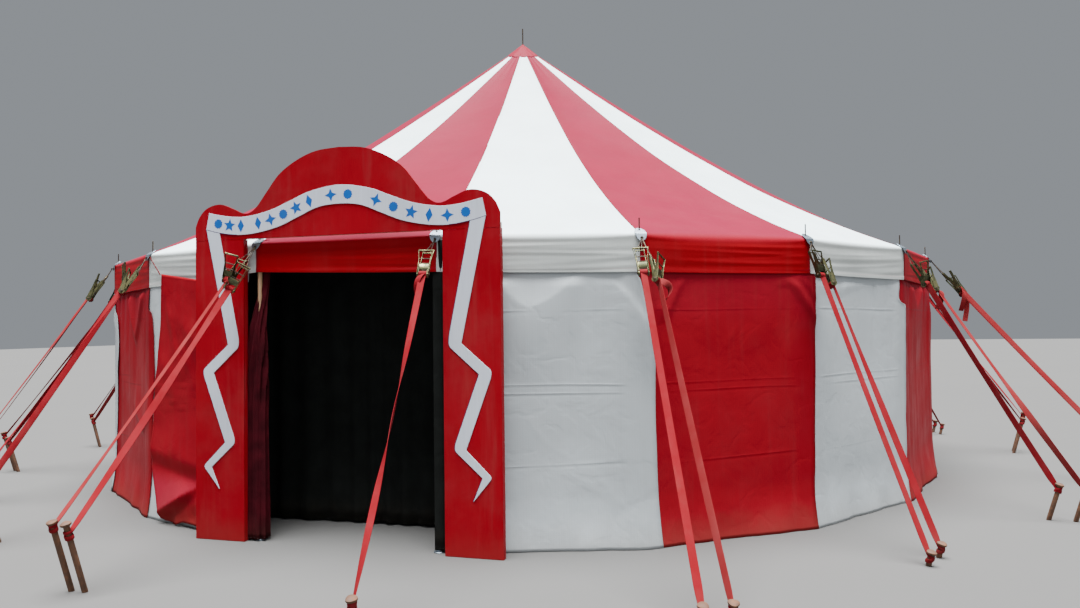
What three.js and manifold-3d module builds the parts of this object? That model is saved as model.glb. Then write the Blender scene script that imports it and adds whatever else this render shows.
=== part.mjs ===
// A small one-ring circus tent: twenty red and white gores round a king pole, walls, side poles,
// ratchet guys on steel stakes, and a cut-out entrance front. Millimetres, +Z up.
// The origin is on the ground under the king pole, and the entrance faces -Y.

import * as THREE from "three";
import { mergeVertices } from "three/addons/utils/BufferGeometryUtils.js";
import Module from "manifold-3d";

const wasm = await Module();
wasm.setup();

// Plan: a regular polygon with a side pole at every corner
const bays = 20;
const bayAngle = (2 * Math.PI) / bays;
const halfBay = Math.cos(bayAngle / 2);

// Heights
const eaveHeight = 2250;
const apexRise = 2980;
const valanceDrop = 291;

// Canopy: the ridge falls as rise (1 - t)(1 - sagA t - sagB t t), with t from crown to eave
const eaveRadius = 4700;
const sagA = 0.164;
const sagB = 0.214;
const clothThickness = 6;
const roofThickness = 8;
const crownHole = 60;
const roofRings = [crownHole, 330, 900, 1650, 2550, 3600];
const seat = 0.4;

// Walls hang from the eave, just inside the valance. Their skirt kicks out at the foot, so far that
// at the door its edge meets the back of the entrance front.
const wallOuter = 4690;
const flareHeight = 300;
const doorHalfWidth = 810;
const doorEdge = doorHalfWidth + 30;
const skirtOuter = eaveRadius * Math.cos(bayAngle) + (doorEdge * Math.sin(bayAngle)) / halfBay;
const wallFlare = skirtOuter - wallOuter;

// Poles
const poleCircle = 4665;
const poleRadius = 17;
const poleFootRadius = 40;
const poleFootThickness = 8;
const poleTop = 2247;
const pinRadius = 5;
const pinTop = 2370;
const kingRadius = 45;
const kingFootRadius = 200;
const kingFootThickness = 12;
const kingTop = 5185;
const collarRadius = 150;
const collarRim = 25;
const collarDepth = 90;
const underSkin = 4;
const spikeRadius = 8;
const spikeTop = 5464;
const capRadius = 205;
const capTop = 5247;
const capFold = [90, 26];

// Eave plates and ratchet guys, drawn outward from a side pole's axis
const plateTilt = THREE.MathUtils.degToRad(35);
const plateDrop = THREE.MathUtils.degToRad(72);
const plateLong = 136;
const plateWide = 86;
const plateThickness = 4;
const plateOverFold = (eaveRadius - poleCircle) * Math.tan(plateTilt);
const plateHeight = eaveHeight + seat + plateOverFold + plateThickness / 2 / Math.cos(plateTilt);
const plateReach = 37;
const plateBend = 49;
const bendLap = 1;
const eyeBelowBend = 35;
const hookWire = 8;
const ratchetLength = 215;
const lap = 10;
const longerHooks = { 1: 40, 4: 50, 5: 90, 20: 40 };
const webWidth = 50;
const webThickness = 4;
const stakeLean = THREE.MathUtils.degToRad(16);
const stakeRadius = 18;
const stakeHeadRadius = 32;
const stakeHeadHeight = 22;
const belowGround = -30;
const ratchets = [
  { side: -32, start: 80, wide: 80, deep: 30 },
  { side: 40, start: 150, wide: 40, deep: 72 },
];

// Stakes: how far outward and sideways each stands from its pole, and the heights of its head and its webbing. The
// ones that show in the photo are measured by corner, and the others repeat the usual pair.
const usualStakes = [
  { foot: 1300, aside: -32, top: 450, tie: 400 },
  { foot: 1240, aside: 40, top: 400, tie: 340 },
];
const measuredStakes = {
  1: [{ foot: 1605, aside: -35, top: 250, tie: 200 }],
  2: [{ foot: 1540, aside: -210, top: 150, tie: 100 }, { foot: 1540, aside: -40, top: 150, tie: 100 }],
  3: [{ foot: 1090, aside: -130, top: 105, tie: 55 }, { foot: 1010, aside: 95, top: 110, tie: 60 }],
  4: [{ foot: 1100, aside: -32, top: 300, tie: 250 }, { foot: 1270, aside: 40, top: 300, tie: 250 }],
  5: [{ foot: 1575, aside: -32, top: 350, tie: 300 }, { foot: 1575, aside: 60, top: 350, tie: 300 }],
  6: [{ foot: 1200, aside: -60, top: 420, tie: 370 }, { foot: 1265, aside: 100, top: 470, tie: 420 }],
  7: [{ foot: 1150, aside: -258, top: 150, tie: 100 }, { foot: 1190, aside: -60, top: 170, tie: 110 }],
  18: [{ foot: 1165, aside: -32, top: 450, tie: 400 }, { foot: 1165, aside: 50, top: 420, tie: 350 }],
  19: [{ foot: 1120, aside: -32, top: 450, tie: 400 }, { foot: 1290, aside: 40, top: 420, tie: 350 }],
  20: [{ foot: 1360, aside: -217, top: 460, tie: 420 }, { foot: 1340, aside: -121, top: 455, tie: 375 }],
};

// Entrance front: a painted board on battens, in front of the valance of the door bay
const frontDepth = 55;
const boardThickness = 15;
const battenWidth = 40;
const frontHalfWidth = 1240;
const doorTop = 2280;
const ribbonThickness = 5;

// Cloth inside and beside the entrance
const drapeThickness = 12;
const drapeBack = -4000;
const drapeFront = -4500;
const drapeLeft = -900;
const drapeRight = 820;
const drapeFoot = 12;
const aboveRoof = 3000;
const gatherTop = 1750;
const sheetTop = 1945;

const redCloth = new THREE.MeshStandardMaterial({ color: 0xa0141c, roughness: 0.35 });
const whiteCloth = new THREE.MeshStandardMaterial({ color: 0xdde4e8, roughness: 0.45 });
const galvanised = new THREE.MeshStandardMaterial({ color: 0x9aa3a8, roughness: 0.4, metalness: 0.9 });
const guySteel = new THREE.MeshStandardMaterial({ color: 0xa83038, roughness: 0.6 });
const woodPole = new THREE.MeshStandardMaterial({ color: 0xb08a62, roughness: 0.7 });
const redPaint = new THREE.MeshStandardMaterial({ color: 0xa5191f, roughness: 0.5 });
const palePaint = new THREE.MeshStandardMaterial({ color: 0xc8cdd7, roughness: 0.5 });
const blackCloth = new THREE.MeshStandardMaterial({ color: 0x0a0a0a, roughness: 0.9 });
const velvet = new THREE.MeshStandardMaterial({ color: 0x4b0f22, roughness: 0.8 });

const tent = new THREE.Group();

function addPiece(parent, name, geometry, material) {
  const piece = new THREE.Mesh(geometry, material);
  piece.name = name;
  parent.add(piece);
  return piece;
}

// A closed geometry as a solid that can be joined and cut
function toSolid(geometry) {
  const bare = geometry.clone();
  bare.deleteAttribute("normal");
  bare.deleteAttribute("uv");
  const merged = mergeVertices(bare, 1e-3);
  const corners = merged.index.array;
  const kept = [];
  for (let i = 0; i < corners.length; i += 3) {
    const [a, b, c] = [corners[i], corners[i + 1], corners[i + 2]];
    if (a !== b && b !== c && c !== a) kept.push(a, b, c);
  }
  const triVerts = new Uint32Array(kept);
  const vertProperties = new Float32Array(merged.attributes.position.array);
  return new wasm.Manifold(new wasm.Mesh({ numProp: 3, vertProperties, triVerts }));
}

function toGeometry(solid) {
  const mesh = solid.getMesh();
  const geometry = new THREE.BufferGeometry();
  geometry.setAttribute("position", new THREE.BufferAttribute(mesh.vertProperties, 3));
  geometry.setIndex(new THREE.BufferAttribute(mesh.triVerts, 1));
  geometry.computeVertexNormals();
  return geometry;
}

function joined(geometries) {
  return geometries.map(toSolid).reduce((whole, next) => whole.add(next));
}

// Height of the canopy's outer face at a ridge, for a distance from the axis
function roofHeight(radius) {
  const t = radius / eaveRadius;
  return eaveHeight + apexRise * (1 - t) * (1 - sagA * t - sagB * t * t);
}

// A profile of [radius, height] points turned round +Z, with its corners at the side poles
function turned(profile, sides = bays) {
  const points = profile.map(([radius, height]) => new THREE.Vector2(radius, height));
  const start = sides === bays ? bayAngle / 2 : 0;
  return new THREE.LatheGeometry(points, sides, start).rotateX(Math.PI / 2);
}

function polar(radius, angle) {
  return [radius * Math.sin(angle), -radius * Math.cos(angle)];
}

function cornerAngle(corner) {
  return (corner - 0.5) * bayAngle;
}

function twoDigits(number) {
  return String(number).padStart(2, "0");
}

// A quarter of space round the axis, its middle at the given turn from the entrance
function quarterSpace(turn) {
  const size = 2 * eaveRadius;
  const gap = 0.2;
  const box = new THREE.BoxGeometry(size, size, size);
  box.translate(size / 2 + gap, size / 2 + gap, size / 2 - 100);
  box.rotateZ(turn - (3 * Math.PI) / 4);
  return toSolid(box);
}

// The canopy's underside from the crown to the valance, lowered by a gap
function underside(gap) {
  return [...roofRings, eaveRadius - clothThickness].map((r) => [r, roofHeight(r) - roofThickness - gap]);
}

// Canopy and valance: one skin, split into quarters along the seams
function canopyProfile() {
  const inner = eaveRadius - clothThickness;
  const under = underside(0);
  const over = [...roofRings, eaveRadius].reverse().map((r) => [r, roofHeight(r)]);
  const hem = eaveHeight - valanceDrop;
  const profile = [...under, [inner, hem], [eaveRadius, hem], ...over];
  return [...profile, profile[0]];
}

function pinHoles() {
  const holes = [];
  for (let corner = 1; corner <= bays; corner += 1) {
    const hole = new THREE.CylinderGeometry(pinRadius + 2, pinRadius + 2, 80, 6).rotateX(Math.PI / 2);
    holes.push(hole.translate(...polar(poleCircle, cornerAngle(corner)), eaveHeight));
  }
  return joined(holes);
}

function buildRoof() {
  const skin = toSolid(turned(canopyProfile())).subtract(pinHoles());
  ["front", "right", "back", "left"].forEach((side, turn) => {
    const quarter = skin.intersect(quarterSpace((turn * Math.PI) / 2));
    addPiece(tent, `roof_${side}`, toGeometry(quarter), turn % 2 ? whiteCloth : redCloth);
  });
}

// Walls: a skin with a kicked-out foot, open at the door
function wallProfile() {
  const inner = wallOuter - clothThickness;
  const top = roofHeight(wallOuter) - roofThickness - seat;
  return [
    [inner + wallFlare, 0],
    [wallOuter + wallFlare, 0],
    [wallOuter, flareHeight],
    [wallOuter, top],
    [inner, top],
    [inner, flareHeight],
    [inner + wallFlare, 0],
  ];
}

function buildWalls() {
  const doorway = new THREE.BoxGeometry(2 * doorEdge, 2000, 3 * eaveHeight);
  const skin = toSolid(turned(wallProfile())).subtract(toSolid(doorway.translate(0, -poleCircle, 0)));
  const quarters = [0, 1, 2, 3].map((turn) => skin.intersect(quarterSpace((turn * Math.PI) / 2)));
  const side = new THREE.BoxGeometry(eaveRadius, 2 * eaveRadius, 3 * eaveHeight);
  const rightSide = toSolid(side.translate(eaveRadius / 2, -eaveRadius, 0));
  addPiece(tent, "wall_front_right", toGeometry(quarters[0].intersect(rightSide)), redCloth);
  addPiece(tent, "wall_front_left", toGeometry(quarters[0].subtract(rightSide)), whiteCloth);
  addPiece(tent, "wall_right", toGeometry(quarters[1]), redCloth);
  addPiece(tent, "wall_back", toGeometry(quarters[2]), whiteCloth);
  addPiece(tent, "wall_left", toGeometry(quarters[3]), redCloth);
}

// King pole with its foot plate, the collar under the crown and the spike on top
function buildKingPole() {
  const underCloth = (radius) => roofHeight(radius) - roofThickness - seat;
  const collarTop = underCloth(collarRadius);
  const neck = crownHole - 5;
  const profile = [
    [0, 0],
    [kingFootRadius, 0],
    [kingFootRadius, kingFootThickness],
    [kingRadius, kingFootThickness],
    [kingRadius, collarTop - collarDepth],
    [collarRadius, collarTop - collarRim],
    [collarRadius, collarTop],
    [neck, underCloth(neck) - underSkin],
    [kingRadius, underCloth(kingRadius) - underSkin],
    [kingRadius, kingTop],
    [spikeRadius, kingTop + 5],
    [spikeRadius, spikeTop - 6],
    [0, spikeTop],
  ];
  addPiece(tent, "king_pole", turned(profile), galvanised);
}

function buildCrownCap() {
  const rest = (radius) => roofHeight(radius) + seat;
  const hole = spikeRadius + 1;
  const profile = [
    [capRadius, rest(capRadius)],
    [capRadius, rest(capRadius) + roofThickness],
    [capFold[0], rest(capFold[0]) + capFold[1]],
    [hole, capTop],
    [hole, kingTop + 30],
    [crownHole, rest(crownHole)],
    [capRadius, rest(capRadius)],
  ];
  addPiece(tent, "crown_cap", turned(profile), redCloth);
}

function sidePoleGeometry() {
  const profile = [
    [0, 0],
    [poleFootRadius, 0],
    [poleFootRadius, poleFootThickness],
    [poleRadius, poleFootThickness],
    [poleRadius, poleTop],
    [pinRadius, poleTop],
    [pinRadius, pinTop],
    [0, pinTop],
  ];
  return turned(profile, 8);
}

// A bar of rectangular section from one point to another, its width lying along "across"
function bar(from, to, wide, deep, across) {
  const along = new THREE.Vector3().subVectors(to, from);
  const length = along.length();
  along.normalize();
  const depthWay = new THREE.Vector3().crossVectors(along, across).normalize();
  const widthWay = new THREE.Vector3().crossVectors(depthWay, along);
  const box = new THREE.BoxGeometry(wide, deep, length).translate(0, 0, length / 2);
  box.applyMatrix4(new THREE.Matrix4().makeBasis(widthWay, depthWay, along));
  return box.translate(from.x, from.y, from.z);
}

// Turns what lies past the plate's bend from the slope of the roof to the drop of the valance
function bentDown(geometry) {
  return geometry
    .translate(-plateBend, 0, 0)
    .rotateY(plateDrop - plateTilt)
    .translate(plateBend, 0, 0);
}

function eavePlate() {
  const outline = new THREE.Shape();
  outline.absellipse(plateReach, 0, plateLong / 2, plateWide / 2, 0, 2 * Math.PI);
  const hole = new THREE.Path();
  hole.absarc(0, 0, pinRadius + 3, 0, 2 * Math.PI);
  outline.holes.push(hole);
  const flat = new THREE.ExtrudeGeometry(outline, {
    depth: plateThickness,
    bevelEnabled: false,
    curveSegments: 7,
  });
  flat.translate(0, 0, -plateThickness / 2);
  const pastBend = new THREE.BoxGeometry(plateLong, plateWide * 2, plateThickness * 2);
  pastBend.translate(plateBend + plateLong / 2, 0, 0);
  const beforeBend = pastBend.clone().translate(bendLap - plateLong, 0, 0);
  const upper = toGeometry(toSolid(flat).intersect(toSolid(beforeBend)));
  const lower = bentDown(toGeometry(toSolid(flat).intersect(toSolid(pastBend))));
  return toGeometry(joined([upper, lower])).rotateY(plateTilt).translate(0, 0, plateHeight);
}

function stakeBar(stake) {
  const length = stake.top / Math.cos(stakeLean);
  const profile = [
    [0, belowGround],
    [stakeRadius, belowGround],
    [stakeRadius, length - stakeHeadHeight],
    [stakeHeadRadius, length - stakeHeadHeight],
    [stakeHeadRadius, length - stakeHeadHeight / 2],
    [0, length],
  ];
  const pin = turned(profile, 6).rotateY(stakeLean);
  return pin.translate(stake.foot, stake.aside, 0);
}

// One guy from the plate: hook, ratchet, webbing and the stake that it is choked round
function guyPieces(ratchet, stake, hookExtra) {
  const down = new THREE.Vector3(0, 1, 0);
  const hole = new THREE.Vector3(eyeBelowBend, 0, 0).applyAxisAngle(down, plateDrop - plateTilt);
  hole.x += plateBend;
  hole.applyAxisAngle(down, plateTilt);
  hole.z += plateHeight;
  const tie = new THREE.Vector3(stake.foot + stake.tie * Math.tan(stakeLean), stake.aside, stake.tie);
  const beside = new THREE.Vector3(hole.x, ratchet.side, hole.z);
  const along = new THREE.Vector3().subVectors(tie, beside).normalize();
  const ratchetTop = beside.clone().addScaledVector(along, ratchet.start + hookExtra);
  const ratchetFoot = ratchetTop.clone().addScaledVector(along, ratchetLength);
  const hookEnd = ratchetTop.clone().addScaledVector(along, lap);
  const webStart = ratchetFoot.clone().addScaledVector(along, -lap);
  const across = new THREE.Vector3(0, 1, 0);
  return [
    bar(hole, hookEnd, hookWire, hookWire, across),
    bar(ratchetTop, ratchetFoot, ratchet.wide, ratchet.deep, across),
    bar(webStart, tie, webWidth, webThickness, across),
    stakeBar(stake),
  ];
}

function guySetGeometry(stakes, hookExtra) {
  const pieces = [eavePlate()];
  stakes.forEach((stake, index) => pieces.push(...guyPieces(ratchets[index], stake, hookExtra)));
  const below = new THREE.BoxGeometry(4000, 1000, 400).translate(1000, 0, -200);
  return toGeometry(joined(pieces).subtract(toSolid(below)));
}

function buildCorners() {
  const pole = sidePoleGeometry();
  const usual = guySetGeometry(usualStakes, 0);
  for (let corner = 1; corner <= bays; corner += 1) {
    const place = new THREE.Group();
    place.position.set(...polar(poleCircle, cornerAngle(corner)), 0);
    place.rotation.z = cornerAngle(corner) - Math.PI / 2;
    tent.add(place);
    addPiece(place, `side_pole_${twoDigits(corner)}`, pole, woodPole);
    const stakes = measuredStakes[corner];
    const guySet = stakes ? guySetGeometry(stakes, longerHooks[corner] ?? 0) : usual;
    addPiece(place, `guy_set_${twoDigits(corner)}`, guySet, guySteel);
  }
}

// Entrance front. Outlines are drawn as X and height, and stood up facing -Y.
const frontBack = -(eaveRadius * halfBay + seat);
const frontFace = frontBack - frontDepth;

function stoodUp(shape, depth, face, curveSegments = 3) {
  const board = new THREE.ExtrudeGeometry(shape, { depth, bevelEnabled: false, curveSegments });
  return board.rotateX(Math.PI / 2).translate(0, face + depth, 0);
}

function block(x0, x1, y0, y1, z0, z1) {
  const box = new THREE.BoxGeometry(x1 - x0, y1 - y0, z1 - z0);
  return box.translate((x0 + x1) / 2, (y0 + y1) / 2, (z0 + z1) / 2);
}

function mirroredPoints(half) {
  const right = half.map(([x, z]) => new THREE.Vector2(x, z));
  const left = half.filter(([x]) => x > 0).reverse().map(([x, z]) => new THREE.Vector2(-x, z));
  return [left, right];
}

function archShape() {
  const half = [
    [0, 2924],
    [190, 2908],
    [352, 2850],
    [497, 2757],
    [601, 2636],
    [700, 2520],
    [790, 2472],
    [880, 2500],
    [1018, 2553],
    [1130, 2530],
    [frontHalfWidth, 2410],
  ];
  const [left, right] = mirroredPoints(half);
  const shape = new THREE.Shape();
  shape.moveTo(frontHalfWidth, doorTop);
  shape.lineTo(right[right.length - 1].x, right[right.length - 1].y);
  shape.splineThru(right.slice(0, -1).reverse());
  shape.splineThru([...left].reverse());
  shape.lineTo(-frontHalfWidth, doorTop);
  return shape;
}

// One leg, for mirror 1 on the right and -1 on the left: a board with a batten along each edge
function buildLeg(name, mirror) {
  const boardBack = frontFace + boardThickness;
  const battenFront = boardBack - lap;
  const top = doorTop - seat;
  const upright = (x0, x1, y0, y1) => {
    const [left, right] = [mirror * x0, mirror * x1].sort((a, b) => a - b);
    return block(left, right, y0, y1, 0, top);
  };
  const pieces = [
    upright(doorHalfWidth, frontHalfWidth, frontFace, boardBack),
    upright(frontHalfWidth - battenWidth, frontHalfWidth, battenFront, frontBack),
    upright(doorHalfWidth, doorHalfWidth + battenWidth, battenFront, frontBack),
  ];
  addPiece(tent, name, toGeometry(joined(pieces)), redPaint);
}

function buildFront() {
  buildLeg("front_leg_right", 1);
  buildLeg("front_leg_left", -1);
  const arch = stoodUp(archShape(), boardThickness, frontFace, 2);
  const railFront = frontFace + boardThickness - lap;
  const rail = block(-frontHalfWidth, frontHalfWidth, railFront, frontBack, doorTop, doorTop + battenWidth);
  addPiece(tent, "front_arch", toGeometry(joined([arch, rail])), redPaint);
}

// Painted ribbon board: an arched band with a zigzag tail down each leg
function ribbonShape() {
  const upper = [
    [0, 2645],
    [242, 2609],
    [416, 2545],
    [592, 2483],
    [790, 2449],
    [950, 2458],
    [1112, 2490],
  ];
  const lower = [
    [1139, 2363],
    [1020, 2333],
    [862, 2313],
    [690, 2322],
    [500, 2362],
    [340, 2425],
    [170, 2490],
    [0, 2506],
  ];
  const [leftUpper, rightUpper] = mirroredPoints(upper);
  const [leftLower, rightLower] = mirroredPoints(lower);
  const shape = new THREE.Shape();
  shape.moveTo(leftUpper[0].x, leftUpper[0].y);
  shape.splineThru(leftUpper.slice(1));
  shape.splineThru(rightUpper);
  shape.lineTo(rightLower[0].x, rightLower[0].y);
  shape.splineThru(rightLower.slice(1));
  shape.splineThru(leftLower.slice(0));
  return shape;
}

function tailShape(mirror) {
  const outline = [
    [1136, 2362],
    [947, 1480],
    [1177, 1282],
    [975, 740],
    [1166, 556],
    [1028, 390],
    [1095, 552],
    [882, 742],
    [1076, 1266],
    [843, 1470],
    [1022, 2334],
  ];
  return new THREE.Shape(outline.map(([x, z]) => new THREE.Vector2(mirror * x, z)));
}

function buildRibbon() {
  const face = frontFace - 0.3 - ribbonThickness;
  const shapes = [ribbonShape(), tailShape(1), tailShape(-1)];
  const boards = shapes.map((shape) => stoodUp(shape, ribbonThickness, face, 2));
  addPiece(tent, "front_ribbon", toGeometry(joined(boards)), palePaint);
}

// Cloth hung from the canopy is cut off just under it
function underRoof() {
  const points = underside(seat).reverse();
  const crown = points[points.length - 1][1];
  return toSolid(turned([[0, -1], [points[0][0], -1], ...points, [0, crown]]));
}

function standingCloth(outline, bottom, top) {
  const shape = new THREE.Shape(outline.map(([x, y]) => new THREE.Vector2(x, y)));
  const cloth = new THREE.ExtrudeGeometry(shape, { depth: top - bottom, bevelEnabled: false });
  return cloth.translate(0, 0, bottom);
}

function buildEntranceDrapes() {
  const room = underRoof();
  const lobby = standingCloth(
    [
      [drapeLeft, drapeBack],
      [drapeRight - drapeThickness, drapeBack],
      [drapeRight - drapeThickness, drapeFront],
      [drapeRight, drapeFront],
      [drapeRight, drapeBack + drapeThickness],
      [drapeLeft, drapeBack + drapeThickness],
    ],
    drapeFoot,
    aboveRoof,
  );
  addPiece(tent, "entrance_drape", toGeometry(toSolid(lobby).intersect(room)), blackCloth);

  const gathered = standingCloth(
    [
      [-800, -4665],
      [-640, -4665],
      [-600, -4610],
      [-605, -4540],
      [-660, -4525],
      [-706, -4550],
      [-706, -4628],
      [-800, -4628],
    ],
    drapeFoot,
    gatherTop,
  );
  const neckOutline = [
    [-704, -4622],
    [-610, -4622],
    [-612, -4545],
    [-704, -4552],
  ];
  const neck = standingCloth(neckOutline, gatherTop - lap, aboveRoof);
  addPiece(tent, "velvet_curtain", toGeometry(joined([gathered, neck]).intersect(room)), velvet);
}

// The door bay's wall sheet, pulled aside and hung over the wall to the left
function buildPulledSheet() {
  const back = (wallOuter + wallFlare) * halfBay + seat;
  const folds = 5;
  const stepsPerFold = 4;
  const [start, end] = [-640, 225];
  const outline = [[end, -back], [start, -back]];
  for (let i = 0; i <= folds * stepsPerFold; i += 1) {
    const share = i / (folds * stepsPerFold);
    const bulge = 34 - 20 * Math.cos(2 * Math.PI * folds * share);
    outline.push([start + (end - start) * share, -back - bulge]);
  }
  const sheet = standingCloth(outline, 0, sheetTop);
  const piece = addPiece(tent, "pulled_aside_sheet", sheet, redCloth);
  piece.rotation.z = -bayAngle;
}

buildRoof();
buildWalls();
buildKingPole();
buildCrownCap();
buildCorners();
buildFront();
buildRibbon();
buildEntranceDrapes();
buildPulledSheet();

export default tent;
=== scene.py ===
"""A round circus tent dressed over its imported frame: metres, +Z up, the entrance faces -Y."""

import logging
import math
from dataclasses import dataclass, field, replace
from enum import Enum
from typing import Iterable, Optional

import bpy
import numpy as np
from mathutils import Matrix


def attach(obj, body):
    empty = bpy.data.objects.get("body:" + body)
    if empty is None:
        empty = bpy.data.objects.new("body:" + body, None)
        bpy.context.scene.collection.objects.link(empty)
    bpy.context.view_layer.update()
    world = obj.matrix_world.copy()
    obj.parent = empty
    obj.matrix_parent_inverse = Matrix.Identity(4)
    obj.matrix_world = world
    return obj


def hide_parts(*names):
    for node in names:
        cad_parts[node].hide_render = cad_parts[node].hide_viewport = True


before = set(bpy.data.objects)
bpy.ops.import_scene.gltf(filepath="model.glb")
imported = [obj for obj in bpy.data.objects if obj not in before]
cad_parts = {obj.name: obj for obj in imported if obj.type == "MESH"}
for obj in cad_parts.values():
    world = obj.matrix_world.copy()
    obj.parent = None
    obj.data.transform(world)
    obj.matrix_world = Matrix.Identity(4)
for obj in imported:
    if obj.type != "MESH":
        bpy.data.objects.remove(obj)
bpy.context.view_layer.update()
LOG = logging.getLogger("tent")
Array = np.ndarray
Vec = tuple[float, float, float]
Piece = bpy.types.Object
Material = bpy.types.Material
Node = bpy.types.Node
Tree = bpy.types.NodeTree
Socket = bpy.types.NodeSocket
SHARP_EDGE = math.radians(38)


class Cloth(Enum):
    """The two colours of coated cloth, by turns round the tent."""

    WHITE = "white"
    RED = "red"

    @classmethod
    def of_bay(cls, bay: int) -> "Cloth":
        """The colour of a bay: odd bays are white."""
        return cls.WHITE if bay % 2 else cls.RED

    @property
    def slot(self) -> str:
        """The name of its slot."""
        return f"{self.value}_pvc"


class Side(Enum):
    """A side of the entrance, as the sign of its x."""

    LEFT = -1
    RIGHT = 1


# Shapes


def spun(*seeds: float) -> Array:
    """A repeatable number from 0 to 1 for the given seeds: the fraction of a large multiple of a sine.

    Args:
        seeds: numbers or arrays that pick the value.

    Returns:
        The value, shaped as the seeds together.
    """
    mixed = sum(np.asarray(s, float) * k for s, k in zip(seeds, (127.1, 311.7, 74.7, 269.5)))
    value = np.sin(mixed) * 43758.5453
    return value - np.floor(value)


def drift(x: Array, y: Array, pitch: float, seed: float = 0.0) -> Array:
    """Smooth noise from -1 to 1: random heights on a square lattice, blended by 3t^2 - 2t^3.

    Args:
        x: the first place.
        y: the second place.
        pitch: the lattice's spacing.
        seed: picks another noise.

    Returns:
        The value at each place.
    """
    gx, gy = np.asarray(x, float) / pitch, np.asarray(y, float) / pitch
    ix, iy = np.floor(gx), np.floor(gy)
    fx, fy = gx - ix, gy - iy
    fx, fy = fx * fx * (3 - 2 * fx), fy * fy * (3 - 2 * fy)
    low = spun(ix, iy, seed) * (1 - fx) + spun(ix + 1, iy, seed) * fx
    high = spun(ix, iy + 1, seed) * (1 - fx) + spun(ix + 1, iy + 1, seed) * fx
    return 2 * (low * (1 - fy) + high * fy) - 1


def bump(distance: Array, width: float) -> Array:
    """A rounded ridge of height 1: exp(-(distance / width)^2)."""
    return np.exp(-((distance / width) ** 2))


def ease(x: Array, start: float, end: float) -> Array:
    """0 before start, 1 after end and 3t^2 - 2t^3 between them."""
    t = np.clip((np.asarray(x, float) - start) / (end - start), 0, 1)
    return t * t * (3 - 2 * t)


def unit(v: Array) -> Array:
    """Vectors scaled to length 1 along their last axis."""
    v = np.asarray(v, float)
    return v / np.maximum(np.linalg.norm(v, axis=-1, keepdims=True), 1e-12)


def smooth_line(knots: Iterable[Vec], count: int) -> Array:
    """Points of a Catmull-Rom curve through the knots: on each span a cubic with its neighbours' slopes.

    Args:
        knots: the points that the curve passes through.
        count: how many points to give back, evenly spaced over the spans.

    Returns:
        An array of count points.
    """
    p = np.asarray(list(knots), float)
    p = np.vstack([2 * p[0] - p[1], p, 2 * p[-1] - p[-2]])
    t = np.linspace(0, len(p) - 3 - 1e-9, count)
    i = t.astype(int)
    u = (t - i)[:, None]
    a, b, c, d = p[i], p[i + 1], p[i + 2], p[i + 3]
    return 0.5 * (2 * b + (c - a) * u + (2 * a - 5 * b + 4 * c - d) * u**2 + (3 * b - a - 3 * c + d) * u**3)


def ring(wide: float, deep: float = 0.0, sides: int = 16, square: float = 2.0) -> Array:
    """A closed section |2x/wide|^n + |2y/deep|^n = 1: an ellipse for n = 2, squarer for a larger n.

    Args:
        wide: the size along the first way.
        deep: the size along the second, equal to wide if 0.
        sides: how many points.
        square: the power n.

    Returns:
        The points, once round, without the first repeated.
    """
    turn = 2 * np.pi * (np.arange(sides) + 0.5) / sides
    c, s = np.cos(turn), np.sin(turn)
    power = 2 / square
    x = wide / 2 * np.sign(c) * np.abs(c) ** power
    y = (deep or wide) / 2 * np.sign(s) * np.abs(s) ** power
    return np.stack([x, y], -1)


def run_along(points: Array) -> Array:
    """Distance to each point of a line: the sum of the steps before it."""
    return np.concatenate([[0], np.cumsum(np.linalg.norm(np.diff(points, axis=0), axis=1))])


def together(*parts: Array | float) -> Array:
    """Arrays spread to one shape and stacked along a last axis."""
    return np.stack(np.broadcast_arrays(*parts), -1)


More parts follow.
